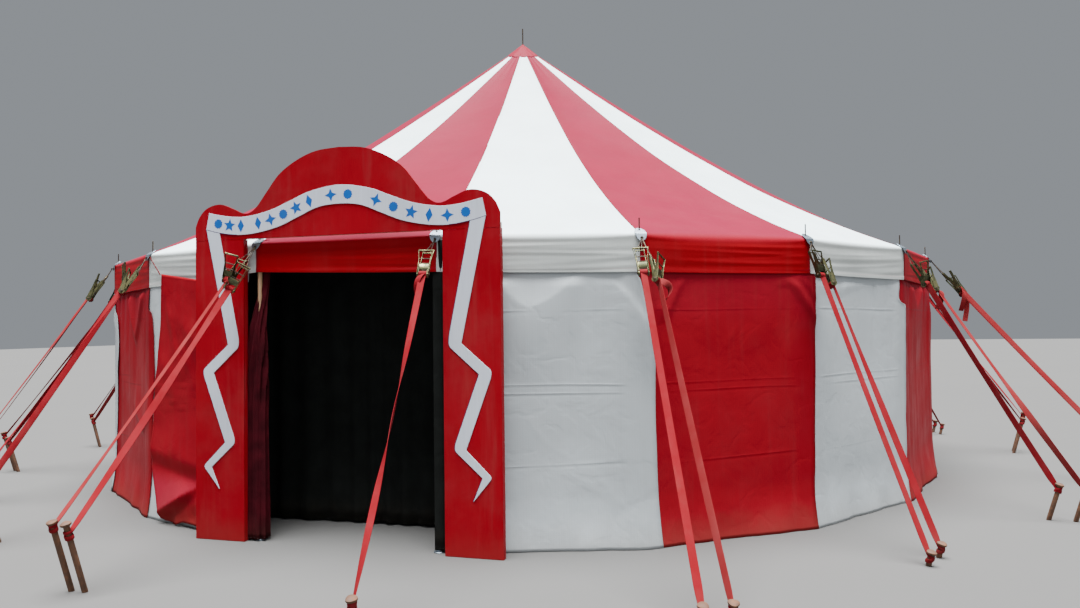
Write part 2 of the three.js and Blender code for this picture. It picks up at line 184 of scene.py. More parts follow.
@dataclass
class Patch:
    """A grid of points, rows by columns by three, that becomes a surface."""

    points: Array
    around: bool = False
    loops: bool = False
    capped: bool = False
    turned: bool = False
    look: int = 0
    uv: Optional[Array] = None

    def placed(self, matrix: Array) -> "Patch":
        """The same patch moved by a 4 x 4 matrix, each point p becoming M p."""
        return replace(self, points=self.points @ matrix[:3, :3].T + matrix[:3, 3])

    def facing(self) -> bool:
        """Whether its cells are turned over: as it says, but always outward where it closes.

        A closed patch's side comes from the sign of its volume, the sum of a . (b x c) over the triangles
        of its cells and its ends.

        Returns:
            True where they are turned over.
        """
        if not (self.around and (self.capped or self.loops)):
            return self.turned
        q = self.points - self.points.reshape(-1, 3).mean(0)
        q = np.concatenate([q, q[:, :1]], 1)
        ends = [(-1.0, q[0]), (1.0, q[-1])] if self.capped else []
        q = np.concatenate([q, q[:1]]) if self.loops else q
        a, b, c, d = q[:-1, :-1], q[:-1, 1:], q[1:, 1:], q[1:, :-1]
        volume = (a * np.cross(b, c)).sum() + (a * np.cross(c, d)).sum()
        for sign, end in ends:
            volume += sign * (end[:-1].mean(0) * np.cross(end[:-1], end[1:])).sum()
        return bool(volume < 0)

    def cells(self) -> tuple[Array, Array]:
        """The grid's cells (r, c), (r, c + 1), (r + 1, c + 1), (r + 1, c), turned over where they face in.

        Returns:
            The point numbers of each cell's corners, and the UV of each.
        """
        rows, cols = self.points.shape[:2]
        r, c = np.mgrid[0 : rows - (0 if self.loops else 1), 0 : cols - (0 if self.around else 1)]
        r2, c2 = (r + 1) % rows, (c + 1) % cols
        quads = np.stack([r * cols + c, r * cols + c2, r2 * cols + c2, r2 * cols + c], -1).reshape(-1, 4)
        uv = self.uv
        if uv is None:
            uv = np.stack(np.mgrid[0:rows, 0:cols].astype(float)[::-1], -1) * 0.01
        r3, c3 = np.minimum(r + 1, uv.shape[0] - 1), np.minimum(c + 1, uv.shape[1] - 1)
        flat = np.stack([uv[r, c], uv[r, c3], uv[r3, c3], uv[r3, c]], 2).reshape(-1, 4, 2)
        return (quads[:, ::-1], flat[:, ::-1]) if self.facing() else (quads, flat)

    def ends(self) -> tuple[Array, Array]:
        """Triangles that close both ends, round two middle points numbered after the grid's own.

        Returns:
            The point numbers of each triangle's corners, and the UV of each.
        """
        rows, cols = self.points.shape[:2]
        k = np.arange(cols)
        k2, far, middle = (k + 1) % cols, (rows - 1) * cols, np.full(cols, rows * cols)
        fans = np.concatenate([np.stack([middle, k2, k], -1), np.stack([middle + 1, far + k, far + k2], -1)])
        spread = np.stack([np.zeros(cols), np.cos(k)], -1) * 0.01
        flat = np.tile(np.repeat(spread, 3, 0), (2, 1))
        return (fans[:, ::-1] if self.facing() else fans), flat


def carried(
    path: Array, section: Array, across: Array, scale: Array | float = 1.0, twist: Array | float = 0.0,
    look: int = 0,
) -> Patch:
    """A section carried along a path: p(i, j) = path(i) + s(i) (x(j) n(i) + y(j) b(i)).

    n is the across direction squared to the path's tangent and b is tangent x n, both turned by the twist.

    Args:
        path: points of the centreline.
        section: closed outline as [x, y] points.
        across: the way that the section's x lies, one for all or one a point.
        scale: the section's scale at each point, one number or one for each way.
        twist: the section's turn at each point in radians.
        look: the material's index.

    Returns:
        The tube as a patch, closed at both ends.
    """
    path = np.asarray(path, float)
    tangent = unit(np.gradient(path, axis=0))
    n = np.broadcast_to(np.asarray(across, float), path.shape)
    n = unit(n - (n * tangent).sum(-1, keepdims=True) * tangent)
    b = np.cross(tangent, n)
    c, s = np.cos(twist), np.sin(twist)
    c, s = (np.broadcast_to(v, len(path))[:, None] for v in (c, s))
    n, b = c * n + s * b, c * b - s * n
    size = np.asarray(scale, float)
    size = np.broadcast_to(size[:, None] if size.ndim == 1 else size, (len(path), 2))
    x = size[:, :1] * section[:, 0]
    y = size[:, 1:] * section[:, 1]
    points = path[:, None] + x[..., None] * n[:, None] + y[..., None] * b[:, None]
    girth = run_along(np.vstack([section, section[:1]]))
    uv = together(girth[None, :], run_along(path)[:, None])
    return Patch(points, around=True, capped=True, look=look, uv=uv)


def rod(
    a: Vec, b: Vec, section: Array, across: Vec = (0, 1, 0.001), edge: float = 0.001, look: int = 0,
) -> Patch:
    """A straight bar from a to b: the section carried along the line and drawn in at both ends.

    Args:
        a: its start.
        b: its end.
        section: its outline as [x, y] points.
        across: the way that the section's x lies.
        edge: how far each end is drawn in.
        look: the material's index.

    Returns:
        The bar as a patch.
    """
    a, b = np.asarray(a, float), np.asarray(b, float)
    length = np.linalg.norm(b - a)
    t = np.array([0, edge, length - edge, length]) / length
    shrink = 1 - 1.6 * edge / max(np.ptp(section, axis=0).min(), 4 * edge)
    return carried(a + (b - a) * t[:, None], section, across, np.array([shrink, 1, 1, shrink]), look=look)


def pin(x: float, half: float, z: float, section: Array, edge: float = 0.001, look: int = 0) -> Patch:
    """A bar across, from -half to half in y: a rod whose ends differ in y alone."""
    return rod((x, -half, z), (x, half, z), section, (1, 0, 0), edge, look)


def lathe(profile: Iterable[tuple[float, float]], sides: int = 24, look: int = 0) -> Patch:
    """A profile of [radius, height] points turned round +Z: (r cos a, r sin a, h), closed at both ends.

    Args:
        profile: [radius, height] points from one end to the other.
        sides: how many points round it.
        look: the material's index.

    Returns:
        The turned piece as a patch.
    """
    r, h = np.asarray(list(profile), float).T
    turn = 2 * np.pi * np.arange(sides) / sides
    points = together(r[:, None] * np.cos(turn), r[:, None] * np.sin(turn), h[:, None])
    run = np.concatenate([[0], np.cumsum(np.hypot(np.diff(r), np.diff(h)))])
    girth = r.max() * 2 * np.pi * np.arange(sides + 1) / sides
    uv = together(girth[None, :], run[:, None])
    return Patch(points, around=True, capped=True, look=look, uv=uv)


def shift(x: float = 0, y: float = 0, z: float = 0, axes: Optional[Array] = None) -> Array:
    """A 4 x 4 matrix: columns are the axes' directions, or none, and then the move.

    Args:
        x: the move along x.
        y: the move along y.
        z: the move along z.
        axes: where the three axes point.

    Returns:
        The matrix.
    """
    m = np.eye(4)
    if axes is not None:
        m[:3, :3] = np.asarray(axes, float).T
    m[:3, 3] = x, y, z
    return m


@dataclass
class Sewn:
    """Patches gathered into one mesh, with a UV map and named values at the points."""

    patches: list[Patch] = field(default_factory=list)

    def add(self, patches: Iterable[Patch], matrix: Optional[Array] = None) -> "Sewn":
        """Adds patches, each moved by the matrix if there is one, and gives the gathering back."""
        self.patches += [p if matrix is None else p.placed(matrix) for p in patches]
        return self

    def mesh(self, name: str) -> Piece:
        """Makes the object.

        Args:
            name: the object's name.

        Returns:
            The object, linked to the scene and standing at the origin.
        """
        points, corners, sizes, uvs, looks = [], [], [], [], []
        for patch in self.patches:
            start = sum(len(block) for block in points)
            points.append(patch.points.reshape(-1, 3))
            faces = [patch.cells()]
            if patch.capped:
                points.append(np.stack([patch.points[0].mean(0), patch.points[-1].mean(0)]))
                faces.append(patch.ends())
            for numbers, flat in faces:
                corners.append((numbers + start).ravel())
                sizes.append(np.full(*numbers.shape))
                uvs.append(flat.reshape(-1, 2))
                looks.append(np.full(len(numbers), patch.look))
        points, corners, sizes, looks = (np.concatenate(v) for v in (points, corners, sizes, looks))
        mesh = bpy.data.meshes.new(name)
        mesh.vertices.add(len(points))
        mesh.vertices.foreach_set("co", points.ravel())
        mesh.loops.add(len(corners))
        mesh.loops.foreach_set("vertex_index", corners.astype(np.int32))
        mesh.polygons.add(len(sizes))
        first = np.concatenate([[0], np.cumsum(sizes)[:-1]])
        mesh.polygons.foreach_set("loop_start", first.astype(np.int32))
        mesh.polygons.foreach_set("material_index", looks.astype(np.int32))
        mesh.uv_layers.new(name="UVMap").data.foreach_set("uv", np.concatenate(uvs).ravel())
        mesh.update(calc_edges=True)
        mesh.validate()
        mesh.polygons.foreach_set("use_smooth", np.ones(len(mesh.polygons), bool))
        mesh.set_sharp_from_angle(angle=SHARP_EDGE)
        piece = bpy.data.objects.new(name, mesh)
        bpy.context.scene.collection.objects.link(piece)
        return piece


def mark(piece: Piece, name: str, values: Array) -> None:
    """Stores one value a point on a piece's mesh, for its material to read."""
    layer = piece.data.attributes.new(name, "FLOAT", "POINT")
    layer.data.foreach_set("value", np.asarray(values, np.float32).ravel())


def thicken(piece: Piece, thickness: float) -> None:
    """Gives a sheet its thickness, inward from its face.

    Args:
        piece: the sheet.
        thickness: in metres.
    """
    solid = piece.modifiers.new("thickness", "SOLIDIFY")
    solid.thickness = thickness
    solid.offset = -1.0
    solid.use_even_offset = True


def finish_piece(
    piece: Piece, finishes: Iterable[Material], nodes: Iterable[str] = ()
) -> Piece:
    """Dresses a piece, sets it on the body and the nodes it stands for.

    Args:
        piece: the object.
        finishes: its materials, in the order of its looks.
        nodes: the frame's nodes that it stands for.

    Returns:
        The object.
    """
    for finish in finishes:
        piece.data.materials.append(finish)
    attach(piece, "root")
    if nodes:
        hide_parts(*nodes)
    LOG.info("%s: %d faces", piece.name, len(piece.data.polygons))
    return piece


# Finishes


class Board:
    """A node tree with short calls for adding and joining nodes."""

    def __init__(self, tree: Tree) -> None:
        """Keeps the tree."""
        self.tree = tree

    def give(self, node: Node, inputs: dict) -> Node:
        """Joins each input that is given as a socket, and sets every other one to its value.

        Args:
            node: the node.
            inputs: values or sockets by input name or number.

        Returns:
            The node.
        """
        for key, value in inputs.items():
            if isinstance(value, Socket):
                self.tree.links.new(value, node.inputs[key])
            else:
                node.inputs[key].default_value = value
        return node

    def put(self, kind: str, inputs: Optional[dict] = None, **settings: object) -> Node:
        """Adds a node.

        Args:
            kind: the node's type without its ShaderNode prefix.
            inputs: values or sockets by input name or number.
            settings: the node's own properties.

        Returns:
            The node.
        """
        node = self.tree.nodes.new("ShaderNode" + kind)
        for key, value in settings.items():
            setattr(node, key, value)
        return self.give(node, inputs or {})

    def use(self, group: Tree, inputs: dict) -> Node:
        """Adds a shared group with values of its own."""
        return self.put("Group", inputs, node_tree=group)

    def math(self, what: str, a: object, b: object = 0.0, clamp: bool = False) -> Socket:
        """The output of a Math node on two values or sockets."""
        return self.put("Math", {0: a, 1: b}, operation=what, use_clamp=clamp).outputs[0]

    def add(self, a: object, b: object) -> Socket:
        """The sum of two values or sockets."""
        return self.math("ADD", a, b)

    def less(self, a: object, b: object) -> Socket:
        """The first value or socket less the second."""
        return self.math("SUBTRACT", a, b)

    def times(self, a: object, b: object) -> Socket:
        """The product of two values or sockets."""
        return self.math("MULTIPLY", a, b)

    def scaled(self, vector: object, by: object) -> Socket:
        """A vector or a colour times one number."""
        return self.put("VectorMath", {0: vector, 3: by}, operation="SCALE").outputs[0]

    def stretched(self, vector: Socket, by: Vec) -> Socket:
        """A vector times a number for each axis."""
        return self.put("VectorMath", {0: vector, 1: by}, operation="MULTIPLY").outputs[0]

    def axes(self, vector: Socket) -> tuple[Socket, Socket, Socket]:
        """The three parts of a vector."""
        return tuple(self.put("SeparateXYZ", {0: vector}).outputs)

    def noise(
        self, vector: Socket, scale: float, detail: float = 3.0, rough: float = 0.55, warp: float = 0.0
    ) -> Socket:
        """The value of a Noise Texture."""
        given = {"Vector": vector, "Scale": scale, "Detail": detail, "Roughness": rough, "Distortion": warp}
        return self.put("TexNoise", given).outputs[0]

    def steps(self, value: Socket, start: float, end: float, low: float = 0.0, high: float = 1.0) -> Socket:
        """A smooth map of a value from start..end to low..high, held at both ends."""
        given = {0: value, 1: start, 2: end, 3: low, 4: high}
        return self.put("MapRange", given, interpolation_type="SMOOTHSTEP", clamp=True).outputs[0]

    def blend(self, share: object, a: object, b: object) -> Socket:
        """One colour mixed to another by a share."""
        given = {0: share, 6: rgba(a), 7: rgba(b)}
        return self.put("Mix", given, data_type="RGBA").outputs[2]


def rgba(colour: object) -> object:
    """A linear colour with full alpha, or a colour socket as it is."""
    return colour if isinstance(colour, Socket) else (*colour, 1.0)


def shared_group(
    name: str, inputs: dict[str, str], outputs: dict[str, str]
) -> tuple[Board, dict[str, Socket], Node]:
    """Starts a node group with named sockets.

    Args:
        name: the group's name.
        inputs: socket kinds by name.
        outputs: socket kinds by name.

    Returns:
        A board on the group, its input sockets by name, and its output node.
    """
    group = bpy.data.node_groups.new(name, "ShaderNodeTree")
    for way, sockets in (("INPUT", inputs), ("OUTPUT", outputs)):
        for key, kind in sockets.items():
            group.interface.new_socket(key, in_out=way, socket_type="NodeSocket" + kind)
    given = group.nodes.new("NodeGroupInput")
    out = group.nodes.new("NodeGroupOutput")
    return Board(group), {s.name: s for s in given.outputs if s.name}, out


def make_grime() -> Tree:
    """Weather: blotches, rain streaks down Z and earth splashed near the ground, as a colour and a mask.

    Returns:
        The node group.
    """
    b, given, out = shared_group(
        "weather_grime",
        {"Vector": "Vector", "Color": "Color", "Amount": "Float", "Splash": "Float"},
        {"Color": "Color", "Mask": "Float"},
    )
    spot = given["Vector"]
    blotch = b.steps(b.noise(spot, 1.7, 5.0, 0.65), 0.42, 0.75)
    streak = b.steps(b.noise(b.stretched(spot, (9.0, 9.0, 0.7)), 1.5, 4.0), 0.5, 0.8)
    ragged = b.times(b.less(b.noise(spot, 9.0, 5.0, 0.7), 0.5), 0.22)
    splash = b.times(b.steps(b.add(b.axes(spot)[2], ragged), 0.24, 0.0), given["Splash"])
    soft = b.times(b.add(b.times(blotch, 0.5), b.times(streak, 0.5)), given["Amount"])
    dulled = b.blend(soft, given["Color"], DUST)
    earthy = b.blend(b.times(splash, 0.6), dulled, EARTH)
    b.give(out, {"Color": earthy, "Mask": b.math("ADD", soft, splash, clamp=True)})
    return b.tree


def make_relief() -> Tree:
    """Cloth relief: soft creases from ridged noise and a woven ground of crossed waves, as a height.

    Returns:
        The node group.
    """
    b, given, out = shared_group(
        "cloth_relief",
        {"Vector": "Vector", "Weave": "Vector", "Pitch": "Float", "Depth": "Float"},
        {"Height": "Float"},
    )
    spot = given["Vector"]
    ridged = b.math("ABSOLUTE", b.less(b.noise(spot, 4.0, 3.0, 0.5, 0.4), 0.5))
    crease = b.times(b.steps(ridged, 0.0, 0.1), 0.0035)
    tall = b.stretched(spot, (15.0, 15.0, 0.8))
    fine = b.add(b.times(b.noise(spot, 26.0, 3.0), 0.001), b.times(b.noise(tall, 1.0, 3.0), 0.008))
    u, v, _ = b.axes(b.scaled(given["Weave"], given["Pitch"]))
    threads = b.times(b.add(b.math("SINE", u), b.math("SINE", v)), 0.25)
    b.give(out, {"Height": b.add(b.add(crease, fine), b.times(threads, given["Depth"]))})
    return b.tree


def make_wear_and_glints() -> Tree:
    """Worn and stained metal, and painted glints on the passivated steel: two sizes of noise, as a mask and
    a small height.

    Returns:
        The node group.
    """
    b, given, out = shared_group(
        "wear_and_glints",
        {"Vector": "Vector", "Scale": "Float", "Amount": "Float"},
        {"Mask": "Float", "Height": "Float"},
    )
    spot = b.scaled(given["Vector"], given["Scale"])
    broad = b.noise(spot, 1.0, 4.0, 0.6)
    close = b.noise(spot, 7.0, 4.0, 0.7)
    both = b.add(b.times(broad, 0.6), b.times(close, 0.4))
    reach = b.less(0.75, b.times(given["Amount"], 0.45))
    mask = b.math("MULTIPLY", b.less(both, reach), 8.0, clamp=True)
    b.give(out, {"Mask": mask, "Height": b.times(close, 0.001)})
    return b.tree


DUST = (0.17, 0.15, 0.12)
EARTH = (0.12, 0.085, 0.055)
GRIME = make_grime()
RELIEF = make_relief()
WEAR_AND_GLINTS = make_wear_and_glints()


class Coat(Board):
    """The board of a new material, with its shader and the coordinates that its patterns read."""

    def __init__(self, name: str) -> None:
        """Starts the material with a Principled shader, the object's coordinates and the UV map.

        Args:
            name: the material's name.
        """
        self.material = bpy.data.materials.new(name)
        self.material.use_nodes = True
        super().__init__(self.material.node_tree)
        self.tree.nodes.clear()
        self.shader = self.put("BsdfPrincipled")
        self.put("OutputMaterial", {0: self.shader.outputs[0]})
        self.spot = self.put("TexCoord").outputs["Object"]
        self.flat = self.put("UVMap", uv_map="UVMap").outputs[0]

    def weathered(self, colour: Socket, amount: float, splash: float) -> tuple[Socket, Socket]:
        """The shared weather over a colour, as the new colour and a mask.

        Args:
            colour: the clean colour.
            amount: how strong blotches and streaks are.
            splash: how strong the splashed earth is.

        Returns:
            The new colour and the mask.
        """
        given = {"Vector": self.spot, "Color": colour, "Amount": amount, "Splash": splash}
        node = self.use(GRIME, given)
        return node.outputs["Color"], node.outputs["Mask"]

    def dress(self, colour: object, rough: object, height: object = None, strength: float = 0.5) -> None:
        """Gives the shader its colour, its roughness and, through Bump, a height.

        Args:
            colour: a colour socket or value.
            rough: the roughness.
            height: the relief in metres, or none.
            strength: how strongly the relief shows.
        """
        self.give(self.shader, {"Base Color": colour, "Roughness": rough})
        if height is not None:
            relief = self.put("Bump", {"Strength": strength, "Distance": 1.0, "Height": height})
            self.give(self.shader, {"Normal": relief.outputs[0]})


@dataclass(frozen=True)
class CoatedCloth:
    """Tarpaulin cloth: a glossy coat over a woven ground.

    It takes its paler tone where "fade" is marked, for sun fading and for painted sky light, sheen and a lit
    facet, and another tone along a marked "seam".
    """

    name: str
    tint: Vec
    # The paler tone: sun fading, and painted sky light and sheen where marked.
    paler: Vec
    seam: Vec
    gloss: float
    grime: float
    splash: float
    relief: float
    shine: float
    thread_pitch: float = 420.0
    rib_pitch: float = 330.0

    def make(self) -> Material:
        """Builds the material.

        Returns:
            The material.
        """
        b = Coat(self.name)
        fade, seam = (b.put("Attribute", attribute_name=key).outputs["Fac"] for key in ("fade", "seam"))
        given = {"Vector": b.spot, "Weave": b.flat, "Pitch": self.thread_pitch, "Depth": 0.0005}
        height = b.use(RELIEF, given).outputs["Height"]
        # Painted light: besides sun fading, the marked share carries painted sky light on up-facing roof
        # cloth, painted sheen on the walls and a painted lit facet on the door sheet.
        bleached_and_lit = b.times(fade, b.steps(b.noise(b.spot, 0.9, 2.0), 0.2, 0.8, 0.9, 1.0))
        base = b.blend(bleached_and_lit, self.tint, self.paler)
        ribs = b.math("SINE", b.times(b.axes(b.flat)[0], self.rib_pitch))
        shade = b.add(b.steps(b.noise(b.spot, 2.3, 4.0), 0.25, 0.8, 0.94, 1.03), b.times(ribs, 0.012))
        sewn = b.blend(b.times(seam, 0.85), b.scaled(base, shade), self.seam)
        colour, mask = b.weathered(sewn, self.grime, self.splash)
        gloss = b.steps(b.noise(b.spot, 3.1, 4.0), 0.2, 0.8, self.gloss - 0.05, self.gloss + 0.09)
        b.dress(colour, b.add(gloss, b.times(mask, 0.3)), height, self.relief)
        b.give(b.shader, {"Specular IOR Level": self.shine})
        return b.material


@dataclass(frozen=True)
class Webbing:
    """Polyester strap: a ribbed weave along the UV map, bleached paler by the sun in stretches."""

    name: str
    tint: Vec
    worn: Vec
    rib: float = 0.0042
    slant: float = 0.005

    def make(self) -> Material:
        """Builds the material.

        Returns:
            The material.
        """
        b = Coat(self.name)
        u, v, _ = b.axes(b.flat)
        ribs = b.math("SINE", b.times(u, 2 * math.pi / self.rib))
        slant = b.math("SINE", b.times(b.add(v, b.times(u, 0.5)), 2 * math.pi / self.slant))
        weave = b.add(ribs, b.times(slant, 0.7))
        paler = b.steps(b.noise(b.spot, 4.0, 4.0, 0.6), 0.35, 0.7)
        base = b.blend(b.times(paler, 0.6), self.tint, self.worn)
        toned = b.scaled(base, b.add(b.times(weave, 0.07), 0.93))
        colour, _ = b.weathered(toned, 0.12, 0.15)
        b.dress(colour, 0.72, b.times(weave, 0.0003), 0.3)
        b.give(b.shader, {"Specular IOR Level": 0.04})
        return b.material


@dataclass(frozen=True)
class Metal:
    """Bare or plated steel: a tint with stains, bright worn spots and a fine grain; on the passivated steel
    the bright spots are also painted glints.
    """

    name: str
    tint: Vec
    stain: Vec
    bright: Vec
    gloss: float
    metallic: float = 1.0
    stained: float = 0.5
    scale: float = 22.0

    def make(self) -> Material:
        """Builds the material.

        Returns:
            The material.
        """
        b = Coat(self.name)
        broad = b.use(WEAR_AND_GLINTS, {"Vector": b.spot, "Scale": self.scale, "Amount": self.stained})
        close = b.use(WEAR_AND_GLINTS, {"Vector": b.spot, "Scale": self.scale * 3.3, "Amount": 0.3})
        stains = broad.outputs["Mask"]
        base = b.blend(stains, self.tint, self.stain)
        base = b.blend(b.times(close.outputs["Mask"], 0.6), base, self.bright)
        b.dress(base, b.add(b.times(stains, 0.2), self.gloss), close.outputs["Height"], 0.35)
        b.give(b.shader, {"Metallic": self.metallic})
        return b.material


@dataclass(frozen=True)
class BrushedPaint:
    """Satin paint on plywood: brush marks and grain along Z, and earth splashed on its foot."""

    name: str
    tint: Vec
    deep: Vec
    gloss: float = 0.42
    splash: float = 0.15

    def make(self) -> Material:
        """Builds the material.

        Returns:
            The material.
        """
        b = Coat(self.name)
        brush = b.noise(b.stretched(b.spot, (34.0, 34.0, 1.3)), 4.0, 3.0, 0.6)
        base = b.blend(b.steps(b.noise(b.spot, 1.4, 4.0, 0.6), 0.3, 0.75), self.tint, self.deep)
        shade = b.scaled(base, b.steps(brush, 0.25, 0.8, 0.95, 1.04))
        colour, mask = b.weathered(shade, 0.12, self.splash)
        gloss = b.steps(brush, 0.2, 0.8, self.gloss - 0.06, self.gloss + 0.08)
        height = b.add(b.times(brush, 0.0009), b.times(b.noise(b.spot, 3.0, 2.0), 0.004))
        b.dress(colour, b.add(gloss, b.times(mask, 0.3)), height, 0.5)
        b.give(b.shader, {"Specular IOR Level": 0.06})
        return b.material


@dataclass(frozen=True)
class SoftCloth:
    """Uncoated cloth: a matt weave in two tones that change slowly."""

    name: str
    tint: Vec
    deep: Vec
    pile: float = 0.0004
    rough: float = 0.95
    thread_pitch: float = 2600.0

    def make(self) -> Material:
        """Builds the material.

        Returns:
            The material.
        """
        b = Coat(self.name)
        given = {"Vector": b.spot, "Weave": b.flat, "Pitch": self.thread_pitch, "Depth": self.pile}
        height = b.use(RELIEF, given).outputs["Height"]
        base = b.blend(b.steps(b.noise(b.spot, 6.0, 4.0), 0.3, 0.7), self.tint, self.deep)
        colour, _ = b.weathered(base, 0.0, 0.1)
        b.dress(colour, self.rough, height, 0.4)
        b.give(b.shader, {"Specular IOR Level": 0.08})
        return b.material


@dataclass(frozen=True)
class OiledTimber:
    """Pale timber: rings stretched along Z, with earth splashed on its foot."""

    name: str
    tint: Vec
    grain: Vec

    def make(self) -> Material:
        """Builds the material.

        Returns:
            The material.
        """
        b = Coat(self.name)
        rings = b.noise(b.stretched(b.spot, (60.0, 60.0, 2.5)), 1.5, 5.0, 0.6, 0.6)
        base = b.blend(b.steps(rings, 0.35, 0.65), self.tint, self.grain)
        colour, _ = b.weathered(base, 0.2, 0.8)
        b.dress(colour, 0.5, b.times(rings, 0.0012), 0.4)
        return b.material


@dataclass(frozen=True)
class Plain:
    """A floor finish of one colour with a faint tone."""

    name: str
    tint: Vec

    def make(self) -> Material:
        """Builds the material.

        Returns:
            The material.
        """
        b = Coat(self.name)
        tone = b.steps(b.noise(b.spot, 0.35, 2.0), 0.2, 0.8, 0.98, 1.01)
        b.dress(b.scaled(self.tint, tone), 0.9)
        return b.material


def made(recipe: CoatedCloth | Webbing | Metal | BrushedPaint | SoftCloth | OiledTimber | Plain) -> Material:
    """A field that holds the recipe's material."""
    return field(default_factory=recipe.make)


@dataclass
class Finishes:
    """Every finish of the tent, made once."""

    # Where "fade" is marked, the cloths take their paler tone: sun fading, painted sky light on the roofs
    # and painted sheen on the walls.
    red_roof: Material = made(CoatedCloth(
        "red_roof_cloth", tint=(0.23, 0.001, 0.006), paler=(0.18, 0.009, 0.03), seam=(0.15, 0.006, 0.016),
        gloss=0.5, grime=0.05, splash=0.0, relief=0.08, shine=0.06,
    ))
    # The white roof's paler tone, bright and sky-blue, is painted sky light.
    white_roof: Material = made(CoatedCloth(
        "white_roof_cloth", tint=(0.425, 0.455, 0.448), paler=(0.8, 0.95, 1.0), seam=(0.5, 0.42, 0.42),
        gloss=0.5, grime=0.04, splash=0.0, relief=0.1, shine=0.08,
    ))
    red_wall: Material = made(CoatedCloth(
        "red_wall_cloth", tint=(0.228, 0.0055, 0.0125), paler=(0.27, 0.015, 0.034),
        seam=(0.13, 0.002, 0.006), gloss=0.34, grime=0.05, splash=0.3, relief=0.2, shine=0.01,
    ))
    white_wall: Material = made(CoatedCloth(
        "white_wall_cloth", tint=(0.41, 0.45, 0.475), paler=(0.48, 0.525, 0.55), seam=(0.3, 0.33, 0.35),
        gloss=0.33, grime=0.1, splash=0.4, relief=0.25, shine=0.06,
    ))
    strap: Material = made(Webbing("red_webbing", (0.165, 0.004, 0.009), (0.2, 0.015, 0.021)))
    pale_strap: Material = made(Webbing("faded_webbing", (0.18, 0.012, 0.015), (0.22, 0.03, 0.033)))
    zinc: Material = made(Metal(
        "galvanised_steel", (0.3, 0.36, 0.42), (0.2, 0.24, 0.29), (0.5, 0.54, 0.58), gloss=0.42,
    ))
    # Its bright colour is the highlight colour, laid on random spots: painted glints as well as worn metal.
    gold_zinc: Material = made(Metal(
        "passivated_steel", tint=(0.15, 0.14, 0.068), stain=(0.05, 0.055, 0.03), bright=(0.48, 0.45, 0.3),
        gloss=0.3, stained=0.75,
    ))
    dark_zinc: Material = made(Metal(
        "worn_ratchet_steel", tint=(0.1, 0.08, 0.05), stain=(0.04, 0.03, 0.025), bright=(0.26, 0.21, 0.15),
        gloss=0.42, metallic=0.9, stained=0.8,
    ))
    rust: Material = made(Metal(
        "rusty_steel", tint=(0.085, 0.04, 0.022), stain=(0.16, 0.07, 0.035), bright=(0.05, 0.03, 0.02),
        gloss=0.7, metallic=0.15, stained=0.6,
    ))
    pole: Material = made(OiledTimber("pole_timber", (0.42, 0.27, 0.15), (0.3, 0.17, 0.09)))
    red_paint: Material = made(BrushedPaint(
        "red_board_paint", (0.245, 0.0015, 0.009), (0.215, 0.001, 0.007),
    ))
    pale_paint: Material = made(BrushedPaint(
        "pale_ribbon_paint", (0.52, 0.56, 0.64), (0.48, 0.52, 0.61), gloss=0.45, splash=0.0,
    ))
    blue_paint: Material = made(BrushedPaint(
        "blue_motif_paint", (0.012, 0.1, 0.38), (0.01, 0.085, 0.33), gloss=0.4, splash=0.0,
    ))
    # Dark paint for the ribbon's fold lines and for the painted shadows beside its tails.
    line_and_shadow_paint: Material = made(BrushedPaint(
        "dark_line_and_shadow_paint", (0.05, 0.02, 0.09), (0.04, 0.02, 0.07), gloss=0.45, splash=0.0,
    ))
    bare_ply: Material = made(OiledTimber("bare_plywood", (0.42, 0.3, 0.19), (0.32, 0.21, 0.12)))
    black: Material = made(SoftCloth("black_drape_cloth", (0.0085, 0.0098, 0.0092), (0.006, 0.0068, 0.0064)))
    velvet: Material = made(SoftCloth(
        "burgundy_velvet", (0.05, 0.003, 0.007), (0.024, 0.0015, 0.0036), pile=0.0002,
    ))
    floor: Material = made(Plain("floor", (0.088, 0.088, 0.087)))


# Plan


@dataclass(frozen=True)
class Plan:
    """The tent's main sizes in metres, the same as in the part's source."""

    bays: int = 20
    eave: float = 2.25
    rise: float = 2.98
    valance: float = 0.291
    radius: float = 4.7
    sag_a: float = 0.164
    sag_b: float = 0.214
    wall: float = 4.69
    pole_circle: float = 4.665

    @property
    def half(self) -> float:
        """Half a bay's angle."""
        return math.pi / self.bays

    def height(self, r: Array) -> Array:
        """Height at a ridge: eave + rise (1 - t)(1 - a t - b t^2), with t the radius over the eave's."""
        t = np.asarray(r, float) / self.radius
        return self.eave + self.rise * (1 - t) * (1 - self.sag_a * t - self.sag_b * t * t)

    def corner(self, n: float) -> float:
        """The turn of corner n from the entrance, toward +X."""
        return (n - 0.5) * 2 * self.half

    def at_corner(self, n: float, radius: float) -> Array:
        """The matrix that puts +X outward and +Y to the right at corner n.

        Args:
            n: the corner.
            radius: how far out its origin lies.

        Returns:
            The matrix.
        """
        a = self.corner(n)
        out, right = (math.sin(a), -math.cos(a), 0), (math.cos(a), math.sin(a), 0)
        return shift(radius * out[0], radius * out[1], 0, [out, right, (0, 0, 1)])

    def quarter(self, bay: int) -> str:
        """The name of the quarter that holds a bay."""
        return ("front", "right", "back", "left")[((bay + 2) // 5) % 4]


PLAN = Plan()


# Canopy


FOLDS_OVER = {20: 0.014, 2: 0.085, 1: 0.05}
HEM_LIFTS = {20: 0.07, 1: 0.029, 2: 0.014, 3: 0.018, 4: 0.004}


